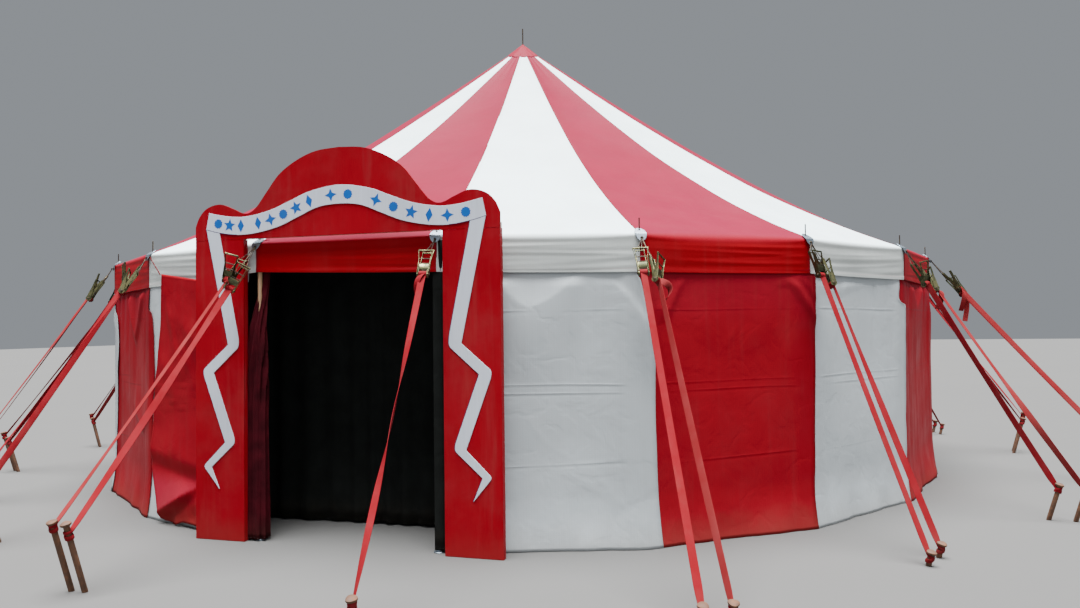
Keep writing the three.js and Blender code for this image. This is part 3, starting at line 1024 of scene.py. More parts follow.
@dataclass
class Canopy:
    """Twenty gores from the crown to the valance hem, red ones lapped over white ones."""

    looks: Finishes
    plan: Plan = PLAN
    crown: float = 0.075
    lap: float = 0.008
    hem: float = 0.026
    thick: float = 0.0014
    cap_thick: float = 0.0016
    cap_reach: float = 0.182
    cap_front: float = 0.14
    cap_peak: float = 5.258
    cap_fall: float = 0.88
    roof_rows: int = 36
    fold_rows: int = 6
    drop_rows: int = 28
    columns: int = 31

    def hem_height(self, bay: Array, u: Array) -> Array:
        """The height of the valance's lower edge: lifted a little at each corner, and blended between them.

        Args:
            bay: bay number at each point.
            u: -1 at the bay's left ridge to 1 at its right one.

        Returns:
            The height at each point.
        """
        p = self.plan
        lifts = np.array([HEM_LIFTS.get(n, 0.008 * float(spun(n, 4))) for n in range(1, p.bays + 1)])
        share = np.clip((u + 1) / 2, 0, 1)
        lift = lifts[(bay - 1) % p.bays] * (1 - share) + lifts[bay % p.bays] * share
        return p.eave - p.valance + lift - 0.004 * np.clip(1 - u * u, 0, 1)

    def rolls(self, bay: Array, u: Array, down: Array) -> Array:
        """The valance's long soft rolls: a hollow under the fold, and eight level swells, each over a part.

        Args:
            bay: bay number at each point.
            u: -1 at the bay's left ridge to 1 at its right one.
            down: 0 at the eave to 1 at the hem.

        Returns:
            The stand-off at each point.
        """
        middle = 1 - u * u
        lift = -0.005 * bump(down - 0.17 - 0.03 * np.sin(2.1 * u + bay), 0.07) * (0.5 + 0.5 * middle)
        for k in range(8):
            level = 0.25 + 0.09 * k + 0.08 * (spun(bay, k, 1) - 0.5) + (0.22 * (spun(bay, k, 2) - 0.5)) * u
            level = level + (0.14 * (spun(bay, k, 4) - 0.35)) * middle
            swell = np.clip(1 - np.abs(u - 1.6 * (spun(bay, k, 7) - 0.5)) * 0.8, 0, 1) ** 0.8
            broad = 0.03 + 0.04 * spun(bay, k, 5)
            lift += (0.0012 + 0.05 * broad) * (-0.7 if k % 2 else 1) * swell * bump(down - level, broad)
        return lift

    def skin(self, bay: Array, u: Array, row: Array, proud: float) -> tuple[Array, Array, Array]:
        """The canopy's outer face.

        Each bay's section runs down the roof's ridge curve, round a fold whose radius grows to mid-bay, and
        down the valance. Points lie on the chord between ridges and move along the face's normal by the
        cloth's slack, its pull lines to the corners and the valance's long soft rolls.

        Args:
            bay: bay number at each point.
            u: -1 at the bay's left ridge to 1 at its right one.
            row: 0 to 1 down the roof, 1 to 2 round the fold and 2 to 3 down the valance.
            proud: how far the cloth stands off.

        Returns:
            Points, the share of sun fading and painted sky light, growing as the cloth faces up, and the run
            down the cloth.
        """
        p, h = self.plan, self.plan.half
        bay, u, row = np.broadcast_arrays(bay, u, row)
        middle = 1 - u * u
        slope = math.atan(p.rise / p.radius * (1 - p.sag_a - p.sag_b) / math.cos(h))
        widest = np.array([
            FOLDS_OVER.get(n, 0.036 + 0.012 * float(spun(n, 3))) for n in range(1, p.bays + 1)
        ])[(bay - 1) % p.bays]
        fold = 0.012 + widest * np.clip(middle, 0, 1) ** 0.6
        tuck = fold * math.tan((math.pi / 2 - slope) / 2)
        edge = p.radius * math.cos(h)
        start_d = edge - tuck * math.cos(slope)
        q = np.clip(row, 0, 1)
        r = self.crown + (start_d / math.cos(h) - self.crown) * q
        turn = slope + (math.pi / 2 - slope) * np.clip(row - 1, 0, 1)
        drop = np.clip(row - 2, 0, 1)
        low = self.hem_height(bay, u)
        on_roof, on_drop = row <= 1, row >= 2
        d = np.where(on_roof, r * math.cos(h), edge - fold + fold * np.sin(turn))
        z = np.where(on_roof, p.height(r), p.eave - tuck + fold * np.cos(turn))
        z = np.where(on_drop, p.eave - tuck + (low - p.eave + tuck) * drop, z)
        pitch = np.arctan(-np.gradient(p.height(np.linspace(0, p.radius, 200)), p.radius / 199))
        lean = np.where(on_roof, np.interp(r, np.linspace(0, p.radius, 200), pitch), turn)
        wide = np.minimum(r, p.radius) * math.sin(h)
        x = u * np.where(on_roof, wide, p.radius * math.sin(h))
        run = np.where(on_roof, r, p.radius + (p.eave - z))
        near = np.abs(np.abs(u) - 1)
        side = np.sign(u)
        to_corner = np.hypot(near * p.radius * math.sin(h), np.where(on_roof, p.radius - r, p.eave - z))
        slack = -0.02 * middle * np.sin(np.pi * np.clip(q, 0, 1)) ** 0.7 * on_roof
        aim = np.arctan2(near * wide + 1e-4, p.radius - r + 1e-4)
        pull = (
            0.0028 * np.cos(aim * 26 + 6 * spun(bay, side, 5)) * np.exp(-to_corner / 0.3)
            * ease(to_corner, 0.03, 0.12) * on_roof
        )
        gather = 0.004 * np.cos(u * 9 + bay) * np.exp(-(r - 0.2) / 0.35) * ease(r, 0.18, 0.45) * on_roof
        soft = 0.004 * drift(x * 1.0 + 7 * bay, run, 0.55, 2) * ease(q, 0.1, 0.4) * on_roof
        down = (p.eave - z) / p.valance
        rolls = self.rolls(bay, u, down)
        rolls *= ease(row, 1.2, 2.1) * ease(near, 0.0, 0.1) * (1 - 0.75 * ease(down, 0.86, 0.92))
        hem = 0.0016 * ease(z, low + self.hem + 0.004, low + self.hem)
        wave = 0.007 * drift(x + 3 * bay, 0 * x, 0.33, 9) * ease(down, 0.3, 1.0)
        inward = -0.005 * middle * ease(down, 0.0, 1.0) * spun(bay, 8) + 0.0015 * ease(down, 0.86, 1.0)
        off = proud + slack + pull + gather + soft + rolls + hem * on_drop + wave + inward
        d, z = d + off * np.sin(lean), z + off * np.cos(lean)
        a = bay * 2 * h
        points = np.stack([d * np.sin(a) + x * np.cos(a), -d * np.cos(a) + x * np.sin(a), z], -1)
        # Painted sky light: the more the cloth faces up, the more of the paler tone it takes; the roof takes
        # all of it.
        fade = np.clip(np.cos(lean) / math.cos(slope), 0, 1) ** 1.5
        return points, np.where(on_roof, 1.0, fade), run

    def gore(self, bay: int) -> Piece:
        """One gore with its valance: the skin over one bay, past both ridges where it is red.

        Args:
            bay: its bay.

        Returns:
            The object.
        """
        p = self.plan
        cloth = Cloth.of_bay(bay)
        red = cloth is Cloth.RED
        roof = np.linspace(0, 1, self.roof_rows) ** 0.8
        fold = 1 + np.linspace(0, 1, self.fold_rows + 1)[1:]
        drop = 2 + np.concatenate([np.linspace(0, 0.9, self.drop_rows - 6)[1:], np.linspace(0.905, 1, 7)])
        rows = np.concatenate([roof, fold, drop])[:, None]
        u = np.sin(np.linspace(-1, 1, self.columns) * math.pi / 2 * 0.93)
        u = (u / u[-1])[None, :] * np.ones_like(rows)
        r = np.maximum(self.crown + (p.radius - self.crown) * np.clip(rows, 0, 1), self.crown)
        past = self.lap / (r * math.sin(p.half)) if red else -0.004 / (r * math.sin(p.half))
        u = u * (1 + past)
        over = (u > 1).astype(int) - (u < -1).astype(int)
        points, fade, run = self.skin(bay + over, u - 2 * over, rows, 0.0014 if red else 0.0)
        wide = r * math.sin(p.half)
        gap = (1 + past - np.abs(u)) * wide
        seam = bump(gap, 0.011) if red else bump(gap - 0.02, 0.006) * 0.25
        above = points[..., 2] - points[-1:, :, 2] - self.hem
        stitch = bump(above, 0.0022) * (rows > 2)
        patch = Patch(points, turned=True, uv=np.stack([u * wide, run * np.ones_like(u)], -1))
        piece = Sewn([patch]).mesh(f"gore_{bay:02d}")
        # Painted sky light and sun fading: the roof part takes the paler tone, the fold less of it and the
        # valance none.
        mark(piece, "fade", fade * np.ones_like(u))
        mark(piece, "seam", np.maximum(seam, 0.6 * stitch))
        thicken(piece, self.thick)
        finish = self.looks.red_roof if red else self.looks.white_roof
        finish_piece(piece, [finish], [f"roof_{p.quarter(bay)}"])
        return piece

    def cap(self) -> Piece:
        """The red cap tied over the crown: a pleated cone that rests on the gores, longest at the front.

        Returns:
            The object.
        """
        p = self.plan
        t = np.linspace(0, 1, 30)[:, None]
        a = np.linspace(0, 2 * np.pi, 109)[None, :-1]
        hem = self.cap_reach + self.cap_front * np.clip(np.cos(a + 1.28), 0, 1) ** 2
        r = 0.0095 + hem * t**1.05
        aside = (a + math.pi / 2 + p.half) % (2 * p.half) - p.half
        slack = (
            0.02 * (1 - (aside / p.half) ** 2) * np.sin(np.pi * np.clip((r - self.crown) / 4.6, 0, 1)) ** 0.7
        )
        rest = p.height(np.maximum(r * np.cos(aside) / math.cos(p.half), 0.02)) - slack + 0.0042
        cone = self.cap_peak - self.cap_fall * r
        z = 0.5 * (cone + rest + np.hypot(cone - rest, 0.006))
        tied = 0.006 * bump(t - 0.13, 0.05)
        pleat = (
            0.5 * np.cos(11 * a + 1.2 * np.sin(2 * a)) + 0.3 * np.cos(17 * a + 2)
            + 0.35 * drift(a * 2.0, t * 2, 0.5, 4)
        )
        lift = (0.0015 + 0.002 * ease(t, 0.35, 1.0)) * (pleat + 1.1) * (1 - 0.9 * ease(t, 0.86, 1.0))
        r = r - tied + 0.004 * pleat * ease(t, 0.02, 0.3)
        z = z + lift
        points = np.stack([r * np.cos(a), r * np.sin(a), z * np.ones_like(a)], -1)
        closed = np.concatenate([a[0], [2 * np.pi]])
        uv = together(closed[None, :] * 0.2, t * 0.3)
        piece = Sewn([Patch(points, around=True, turned=True, uv=uv)]).mesh("crown_cap_cloth")
        # Painted sky light and sun fading: the cap takes the paler tone, more of it toward its hem.
        mark(piece, "fade", 0.6 + 0.2 * ease(t, 0, 0.6) * np.ones_like(a))
        mark(piece, "seam", 0.4 * bump((1 - t) * 0.23 - 0.014, 0.004) * np.ones_like(a))
        thicken(piece, self.cap_thick)
        finish_piece(piece, [self.looks.red_roof], ["crown_cap"])
        return piece

    def build(self) -> None:
        """Makes every gore and the cap."""
        for bay in range(1, self.plan.bays + 1):
            self.gore(bay)
        self.cap()


# Walls


@dataclass(frozen=True)
class Fold:
    """A buckle in a hung sheet.

    From its lowest point [s, z] its line rises by a slope on each side, and the cloth comes out to it.
    """

    s: float
    z: float
    left: float
    right: float
    high: float
    reach: float = 0.2
    fall: float = 0.06
    span: tuple[float, float] = (0.3, 0.3)
    bow: float = 0.0

    def lift(self, s: Array, z: Array) -> Array:
        """Stand-off: 0 at the reach above the line, growing to the height at it, and eased off below it.

        Args:
            s: metres from the sheet's left corner.
            z: height.

        Returns:
            The stand-off in metres.
        """
        aside = s - self.s
        rounded = np.hypot(aside, 0.02) - 0.02
        rounded = rounded * (1 + self.bow * rounded)
        over = z - self.z - np.where(aside < 0, self.left, self.right) * rounded
        shape = np.where(
            over > 0, np.clip(1 - over / self.reach, 0, 1) ** 1.6, 1 - ease(-over, 0.0, self.fall),
        )
        window = (
            ease(aside, -self.span[0] - 0.12, -self.span[0] + 0.04)
            * (1 - ease(aside, self.span[1] - 0.04, self.span[1] + 0.12))
        )
        return self.high * shape * window


@dataclass(frozen=True)
class Crease:
    """A pressed line between two points [s, z] of a sheet."""

    a: tuple[float, float]
    b: tuple[float, float]
    high: float = 0.003
    wide: float = 0.008

    def lift(self, s: Array, z: Array) -> Array:
        """Stand-off: a rounded ridge along the line, strongest at its middle.

        Args:
            s: metres from the sheet's left corner.
            z: height.

        Returns:
            The stand-off in metres.
        """
        (ax, az), (bx, bz) = self.a, self.b
        dx, dz = bx - ax, bz - az
        t = np.clip(((s - ax) * dx + (z - az) * dz) / (dx * dx + dz * dz), 0, 1)
        return (
            self.high * bump(np.hypot(s - ax - t * dx, z - az - t * dz), self.wide)
            * (0.4 + 2.4 * t * (1 - t))
        )


Edge = tuple[tuple[float, float], ...]
LEFT_FLAP = Fold(0.21, 1.71, 0.0, 2.1, 0.013, 0.22, 0.13, (0.2, 0.16))
CORNER_LOOP = (
    Fold(1.26, 1.97, 0.0, -1.3, 0.015, 0.1, 0.12, (0.03, 0.24)),
    Fold(1.38, 1.96, 0.0, -1.2, 0.006, 0.06, 0.05, (0.02, 0.12)),
)
POCKET = Fold(0.655, 1.732, 0.55, 0.3, 0.027, 0.23, 0.7, (0.27, 0.34), 4.0)
CORNER_DROOP = Fold(1.19, 1.955, 0.0, -0.8, 0.012, 0.075, 0.5, (0.04, 0.42), 1.5)
FOLDS: dict[int, tuple[Fold, ...]] = {
    1: (POCKET, CORNER_DROOP, Fold(1.3, 0.33, 0.55, 0.4, 0.002, 0.2, 0.05, (0.35, 0.2))),
    2: (LEFT_FLAP, *CORNER_LOOP, Fold(0.8, 1.5, 0.3, 0.4, 0.004, 0.5, 0.25, (0.3, 0.3))),
    3: (Fold(0.4, 1.86, 0.15, 0.25, 0.006, 0.2, 0.09, (0.2, 0.5)),),
    18: (
        Fold(0.9, 1.55, 1.4, 1.2, 0.02, 0.4, 0.1, (0.25, 0.3)),
        Fold(1.2, 0.75, 0.5, 0.6, 0.02, 0.3, 0.08, (0.3, 0.3)),
    ),
}
CREASES: dict[int, tuple[Crease, ...]] = {
    1: (
        Crease((0.59, 1.0), (0.78, 0.74)), Crease((0.78, 0.75), (0.98, 0.62), 0.002),
        Crease((1.09, 0.565), (1.25, 0.375)),
    ),
    2: (
        Crease((0.84, 1.61), (0.67, 1.4)), Crease((0.3, 1.3), (0.6, 1.24), 0.002),
        Crease((1.1, 1.62), (1.2, 1.45), 0.002),
    ),
    19: (Crease((0.4, 1.0), (0.6, 0.8)),),
}
USUAL_EDGE: Edge = ((2.24, 0.03), (1.8, 0.045), (1.5, 0.07), (0.9, 0.075), (0.4, 0.06), (0.0, 0.05))
RIGHT_EDGES: dict[int, Edge] = {
    1: (
        (2.24, -0.03), (1.96, -0.024), (1.908, -0.003), (1.664, 0.043), (1.382, 0.095), (0.9, 0.095),
        (0.55, 0.104), (0.0, 0.119),
    ),
    2: (
        (2.24, 0.077), (1.89, 0.077), (1.69, 0.07), (1.535, 0.064), (0.987, 0.044), (0.446, 0.015),
        (0.0, 0.0),
    ),
    3: (
        (2.24, -0.08), (1.943, -0.08), (1.809, -0.105), (1.76, -0.06), (1.712, 0.014), (1.425, 0.0),
        (1.122, -0.014), (0.0, -0.04),
    ),
    17: (
        (2.24, 0.02), (1.95, 0.02), (1.8, 0.05), (1.7, 0.16), (1.4, 0.2), (1.2, 0.17), (0.744, 0.14),
        (0.43, 0.1), (0.0, 0.1),
    ),
    18: (
        (2.24, 0.014), (1.943, 0.014), (1.792, -0.002), (1.76, 0.02), (1.735, 0.053), (1.572, 0.078),
        (1.162, 0.09), (0.826, 0.06), (0.0, 0.04),
    ),
    19: ((2.24, -0.106), (0.0, -0.106)),
}
LEFT_EDGES = {1: 0.131, 4: -0.17}
PLEATS = {1: 0.3, 2: 0.3, 3: 1.1, 4: 1.6, 18: 2.4, 19: 0.4}
PACKED = (1.705, 1.172, 1.108, 0.6)
PACKED_ACROSS = (0.32, 0.69, 0.965, 1.28)


@dataclass
class Walls:
    """Nineteen hung sheets, each lapped over the next, with the marks of folding and a loose skirt."""

    looks: Finishes
    plan: Plan = PLAN
    top: float = 2.235
    flare: float = 0.0428
    skirt: float = 0.3
    under: float = 0.085
    thick: float = 0.0012
    fine: tuple[int, int] = (96, 80)
    plain: tuple[int, int] = (42, 38)

    @property
    def long(self) -> float:
        """The wall's length from corner to corner."""
        return 2 * self.plan.wall * math.sin(self.plan.half)

    def line(self, run: Array) -> tuple[Array, Array]:
        """The wall's plan line: straight between corners, and rounded at each by averaging five points.

        Args:
            run: metres along it from corner 1, toward the right.

        Returns:
            Points in plan, and the outward way.
        """
        share = (run[..., None] + np.linspace(-0.02, 0.02, 5)) / self.long
        k = np.floor(share)
        f = share - k
        a, b = ((k + n + 0.5) * 2 * self.plan.half for n in (0, 1))
        x = self.plan.wall * (np.sin(a) * (1 - f) + np.sin(b) * f)
        y = -self.plan.wall * (np.cos(a) * (1 - f) + np.cos(b) * f)
        face = (k + 1) * 2 * self.plan.half
        out = np.stack([np.sin(face).mean(-1), -np.cos(face).mean(-1)], -1)
        return np.stack([x.mean(-1), y.mean(-1)], -1), unit(out)

    def packing(self, bay: int, s: Array, z: Array) -> Array:
        """The ridges where the sheet lay folded: level ones over a hollow, and fainter upright ones.

        Args:
            bay: the sheet's bay.
            s: metres from its left corner.
            z: height.

        Returns:
            The stand-off in metres.
        """
        key = 10.0 * bay
        deep = 0.6 if Cloth.of_bay(bay) is Cloth.RED else 1.0
        lift = np.zeros_like(s)
        for k, level in enumerate(PACKED):
            line = level + 0.008 * drift(s + key, 0 * z, 0.6, 5 + k) + 0.02 * (s - 0.7) * (k == 3)
            strong = 0.5 + 0.5 * drift(s + key, 0 * z, 0.45, 9 + k)
            lift += deep * strong * (0.002 * bump(z - line, 0.006) - 0.0014 * bump(z - line + 0.016, 0.012))
        for k, place in enumerate(PACKED_ACROSS):
            lift += (
                deep * 0.0022 * bump(s - place - 0.004 * drift(z, key + 0 * z, 0.6, k), 0.0065)
                * (0.4 + 0.6 * drift(z, 0 * z, 0.45, key + k))
            )
        return lift

    def relief(self, bay: int, s: Array, z: Array) -> Array:
        """How far the cloth stands off its plan line.

        Neighbouring sheets share one relief at a corner. Between corners each has slow slack, upright
        pleats, its packing ridges, folds and creases, and a skirt that buckles more toward the ground.

        Args:
            bay: the sheet's bay.
            s: metres from its left corner.
            z: height.

        Returns:
            The stand-off in metres.
        """
        key = 10.0 * bay
        inside = np.minimum(s, self.long - s)
        corner = np.where(s < self.long / 2, bay, bay + 1) % self.plan.bays
        shared = 0.0015 + 0.0035 * drift(z, corner * 3.7, 0.5, 1)
        pleats = PLEATS.get(bay, 0.4 + float(spun(bay, 5)))
        own = 0.009 * drift(s + key, z, 0.7, 1) + 0.0009 * drift(s + key, z, 0.2, 2) - 0.006
        lean = s - 0.05 * z * (pleats > 2)
        own += (
            0.0042 * pleats * drift(lean + key, z * 0.12, 0.075 + 0.03 * (pleats > 2), 3)
            * (0.3 + 0.7 * ease(z, 0.6, 1.9))
        )
        own += self.packing(bay, s, z) + sum(crease.lift(s, z) for crease in CREASES.get(bay, ()))
        usual = (POCKET, CORNER_DROOP) if float(spun(bay, 2)) > 0.5 else (LEFT_FLAP, *CORNER_LOOP)
        folds = sum(fold.lift(s, z) for fold in FOLDS.get(bay, usual)) * (1 - ease(z, 1.87, 1.975))
        skirt = ease(z, 0.34, 0.02)
        own += (0.012 * drift(s + key, z * 0.4, 0.16, 7) + 0.01 * drift(s + key, z, 0.4, 8)) * skirt
        near = 1 - ease(inside, 0.1, 0.2)
        off = shared * near + own * (1 - near) + folds * ease(s, 0.1, 0.16)
        behind = 4 * np.clip(s * (self.long - s), 0, None) / self.long**2
        off = (
            off - (0.004 + 0.009 * behind) * ease(z, 1.88 if pleats > 1 else 1.952, 1.99)
            - 0.045 * ease(-s, 0.03, 0.15)
        )
        return np.maximum(off, np.where((inside < 0.09) & (s > 0), -0.003, -0.05))

    def heights(self, bay: int, rows: int) -> Array:
        """The rows' heights from top to foot, closer round the packing ridges of a fine sheet.

        Args:
            bay: the sheet's bay.
            rows: how many even rows it has.

        Returns:
            The heights.
        """
        even = np.linspace(self.top, 0.002, rows)
        if bay not in PLEATS:
            return even
        close = (
            [np.linspace(level - 0.026, level + 0.014, 9) for level in PACKED]
            + [np.linspace(1.73, 1.96, 16)]
        )
        return np.sort(np.concatenate([even, *close]))[::-1]

    def sheet(self, bay: int) -> Piece:
        """One bay's sheet, from under its neighbour's edge to just past the next corner.

        Args:
            bay: its bay.

        Returns:
            The object.
        """
        p = self.plan
        cloth = Cloth.of_bay(bay)
        red = cloth is Cloth.RED
        rows, columns = self.fine if bay in PLEATS else self.plain
        z = self.heights(bay, rows)[:, None]
        u = np.linspace(0, 1, columns)[None, :]
        edge = smooth_line([(h, d, 0) for h, d in RIGHT_EDGES.get(bay, USUAL_EDGE)[::-1]], 200)
        ragged = 0.003 * drift(z, 0 * z, 0.09, bay) * (bay in (3, 18))
        right = self.long + np.interp(z, edge[:, 0], edge[:, 1]) + ragged
        left = LEFT_EDGES.get(bay, -self.under)
        s = left + (right - left) * u
        level = z + 0 * s
        kick = self.flare * np.clip(1 - level / (self.skirt * 1.3), 0, 1) ** 1.6
        lapped = 0.0045 * ease(s, self.long - 0.3, self.long - 0.12)
        past = right - s
        curl = 0.004 * bump(past, 0.018) * (1 + drift(level, 0 * s, 0.25, bay)) * (level < 1.96)
        plan, out = self.line(s + (bay - 1) * self.long)
        plan = plan + out * (self.relief(bay, s, level) + kick + lapped + curl)[..., None]
        foot = 0.0015 * (1 + drift(s + bay, 0 * s, 0.3, 12))
        height = np.maximum(level + foot * ease(level, 0.16, 0.0), 0.001)
        points = np.concatenate([plan, height[..., None]], -1)
        uv = np.stack([s, 2.3 - level], -1)
        piece = Sewn([Patch(points, turned=True, uv=uv)]).mesh(f"wall_sheet_{bay:02d}")
        # Painted sheen: a paler band on the skirt and a paler top on each sheet.
        mark(piece, "fade", 0.1 * ease(level, 0.3, 0.04) + 0.25 * ease(level, 1.5, 2.0))
        hem = np.maximum(bump(past - 0.02, 0.003) + bump(past, 0.003), bump(level - 0.03, 0.004))
        mark(piece, "seam", hem * 0.6)
        thicken(piece, self.thick)
        where = p.quarter(bay)
        if where == "front":
            where += "_right" if bay < p.bays / 2 else "_left"
        finish = self.looks.red_wall if red else self.looks.white_wall
        finish_piece(piece, [finish], [f"wall_{where}"])
        return piece

    def build(self) -> None:
        """Makes the sheets of every bay but the door's."""
        for bay in range(1, self.plan.bays):
            self.sheet(bay)


# Poles


@dataclass
class Poles:
    """The king pole and the twenty side poles, with feet and pins."""

    looks: Finishes
    plan: Plan = PLAN

    def king(self) -> Piece:
        """The king pole, turned from profiles: a tube, a foot plate with gussets, a collar and a spike.

        Returns:
            The object.
        """
        p = self.plan
        tube = [(0.045, 0.012), (0.045, 1.7), (0.0475, 1.705), (0.0475, 1.79), (0.045, 1.795), (0.045, 5.05)]
        collar = float(p.height(0.15)) - 0.0105
        top = [
            (0.05, collar - 0.09), (0.145, collar - 0.026), (0.15, collar - 0.02), (0.15, collar - 0.003),
            (0.13, collar),
        ]
        patches = [
            lathe([(0.192, 0), (0.2, 0.003), (0.2, 0.009), (0.196, 0.012), (0.05, 0.012)], 64),
            lathe(tube, 40), lathe([(0.045, collar - 0.12), *top, (0.056, collar + 0.02)], 40),
            lathe(
                [
                    (0.044, 5.05), (0.04, 5.17), (0.012, 5.188), (0.0085, 5.2), (0.008, 5.455),
                    (0.0065, 5.461), (0.002, 5.464),
                ],
                24, 1,
            ),
        ]
        for k in range(4):
            m = p.at_corner(0.5 + 5 * k, 0.0)
            outline = ((0.04, 0.012), (0.15, 0.012), (0.15, 0.03), (0.048, 0.16))
            web = np.array([[(x, y, z) for x, z in outline] for y in (-0.004, 0.004)])
            patches.append(Patch(web, around=True, capped=True).placed(m))
            bolt = lathe([(0.014, 0.012), (0.014, 0.022), (0.012, 0.024)], 6)
            patches.append(bolt.placed(p.at_corner(3 + 5 * k, 0.155)))
        piece = Sewn(patches).mesh("king_pole_steel")
        return finish_piece(
            piece, [self.looks.zinc, self.looks.dark_zinc], ["king_pole"],
        )

    def side(self, n: int) -> Piece:
        """A side pole: a timber shaft with steel ferrules, a foot plate and the pin for the eave plate.

        Args:
            n: its corner.

        Returns:
            The object.
        """
        m = self.plan.at_corner(n, self.plan.pole_circle)
        shaft = lathe([(0.0168, 0.07), (0.0172, 0.6), (0.0172, 1.6), (0.0168, 2.17)], 20)
        steel = [
            lathe([(0.038, 0), (0.04, 0.002), (0.04, 0.006), (0.038, 0.008), (0.02, 0.008)], 28, 1),
            lathe([(0.0185, 0.007), (0.0185, 0.1), (0.0172, 0.103)], 20, 1),
            lathe(
                [(0.0172, 2.12), (0.0185, 2.123), (0.0185, 2.238), (0.016, 2.244), (0.0052, 2.246)],
                20,
                1,
            ),
            lathe([(0.005, 2.24), (0.005, 2.362), (0.0044, 2.367), (0.002, 2.37)], 12, 2),
        ]
        piece = Sewn().add([shaft, *steel], m).mesh(f"side_pole_timber_{n:02d}")
        return finish_piece(
            piece, [self.looks.pole, self.looks.zinc, self.looks.dark_zinc],
            [f"side_pole_{n:02d}"],
        )

    def build(self) -> None:
        """Makes every pole."""
        self.king()
        for n in range(1, self.plan.bays + 1):
            self.side(n)


# Guys


@dataclass(frozen=True)
class Stake:
    """A driven stake.

    Metres outward and sideways from its pole, and the heights of its head and of the webbing on it.
    """

    foot: float
    aside: float
    top: float
    tie: float


@dataclass(frozen=True)
class Hold:
    """How one ratchet and its strap lie.

    Degrees of roll, of the handle's opening and of the strap's turn on its way down. The tail is the free
    end's length, negative where it hangs to the left.
    """

    roll: float = 0.0
    handle: float = 8.0
    turns: tuple[float, ...] = (0.0, 8.0, 0.0, -8.0, 5.0)
    tail: float = 0.0
    pale: bool = False


USUAL_STAKES = (Stake(1.3, -0.032, 0.45, 0.4), Stake(1.24, 0.04, 0.4, 0.34))
STAKES = {
    1: (Stake(1.605, -0.035, 0.25, 0.2),),
    2: (Stake(1.54, -0.21, 0.15, 0.1), Stake(1.54, -0.04, 0.15, 0.1)),
    3: (Stake(1.09, -0.13, 0.105, 0.055), Stake(1.01, 0.095, 0.11, 0.06)),
    4: (Stake(1.1, -0.032, 0.3, 0.25), Stake(1.27, 0.04, 0.3, 0.25)),
    5: (Stake(1.575, -0.032, 0.35, 0.3), Stake(1.575, 0.06, 0.35, 0.3)),
    6: (Stake(1.2, -0.06, 0.42, 0.37), Stake(1.265, 0.1, 0.47, 0.42)),
    7: (Stake(1.15, -0.258, 0.15, 0.1), Stake(1.19, -0.06, 0.17, 0.11)),
    18: (Stake(1.165, -0.032, 0.45, 0.4), Stake(1.165, 0.05, 0.42, 0.35)),
    19: (Stake(1.12, -0.032, 0.45, 0.4), Stake(1.29, 0.04, 0.42, 0.35)),
    20: (Stake(1.36, -0.217, 0.46, 0.42), Stake(1.34, -0.121, 0.455, 0.375)),
}
LONGER_HOOKS = {1: 0.04, 2: 0.03, 4: 0.05, 5: 0.09, 20: 0.04}
USUAL_HOLDS = (Hold(), Hold(58.0, 10.0, (70.0, 45.0, 20.0, 35.0, 15.0)))
HOLDS = {
    1: (Hold(2.0, 5.0, (0.0, 25.0, 82.0, 20.0, 60.0), -0.22),),
    2: (
        Hold(-10.0, 6.0, (-8.0, -6.0, -4.0, 0.0, 8.0)),
        Hold(48.0, 16.0, (80.0, 66.0, 58.0, 60.0, 66.0), 0.16, True),
    ),
    3: (Hold(6.0, 8.0, (10.0, 0.0, 8.0, 5.0, 15.0)), Hold(70.0, 5.0, (-18.0, -8.0, 18.0, 28.0, 22.0))),
    4: (
        Hold(-20.0, 26.0, (90.0, 104.0, 108.0, 100.0, 80.0)),
        Hold(30.0, 14.0, (10.0, 12.0, 20.0, 100.0, 110.0), -0.18, True),
    ),
    5: (
        Hold(-10.0, 14.0, (70.0, 62.0, 58.0, 62.0, 50.0), -0.24, True),
        Hold(40.0, 10.0, (80.0, 70.0, 64.0, 70.0, 60.0), 0.29, True),
    ),
    20: (
        Hold(20.0, 42.0, (10.0, 8.0, 10.0, 14.0, 2.0), 0.1, True),
        Hold(50.0, 18.0, (-40.0, -8.0, -34.0, -16.0, -4.0)),
    ),
    18: (
        Hold(4.0, 16.0, (-30.0, -20.0, -14.0, -12.0, -15.0), 0.0, True),
        Hold(-20.0, 8.0, (0.0, 10.0, 5.0, 0.0, 0.0)),
    ),
    19: (
        Hold(-12.0, 30.0, (-50.0, -62.0, -55.0, -60.0, -50.0)),
        Hold(-30.0, 12.0, (-30.0, 10.0, 20.0, 0.0, -20.0)),
    ),
}


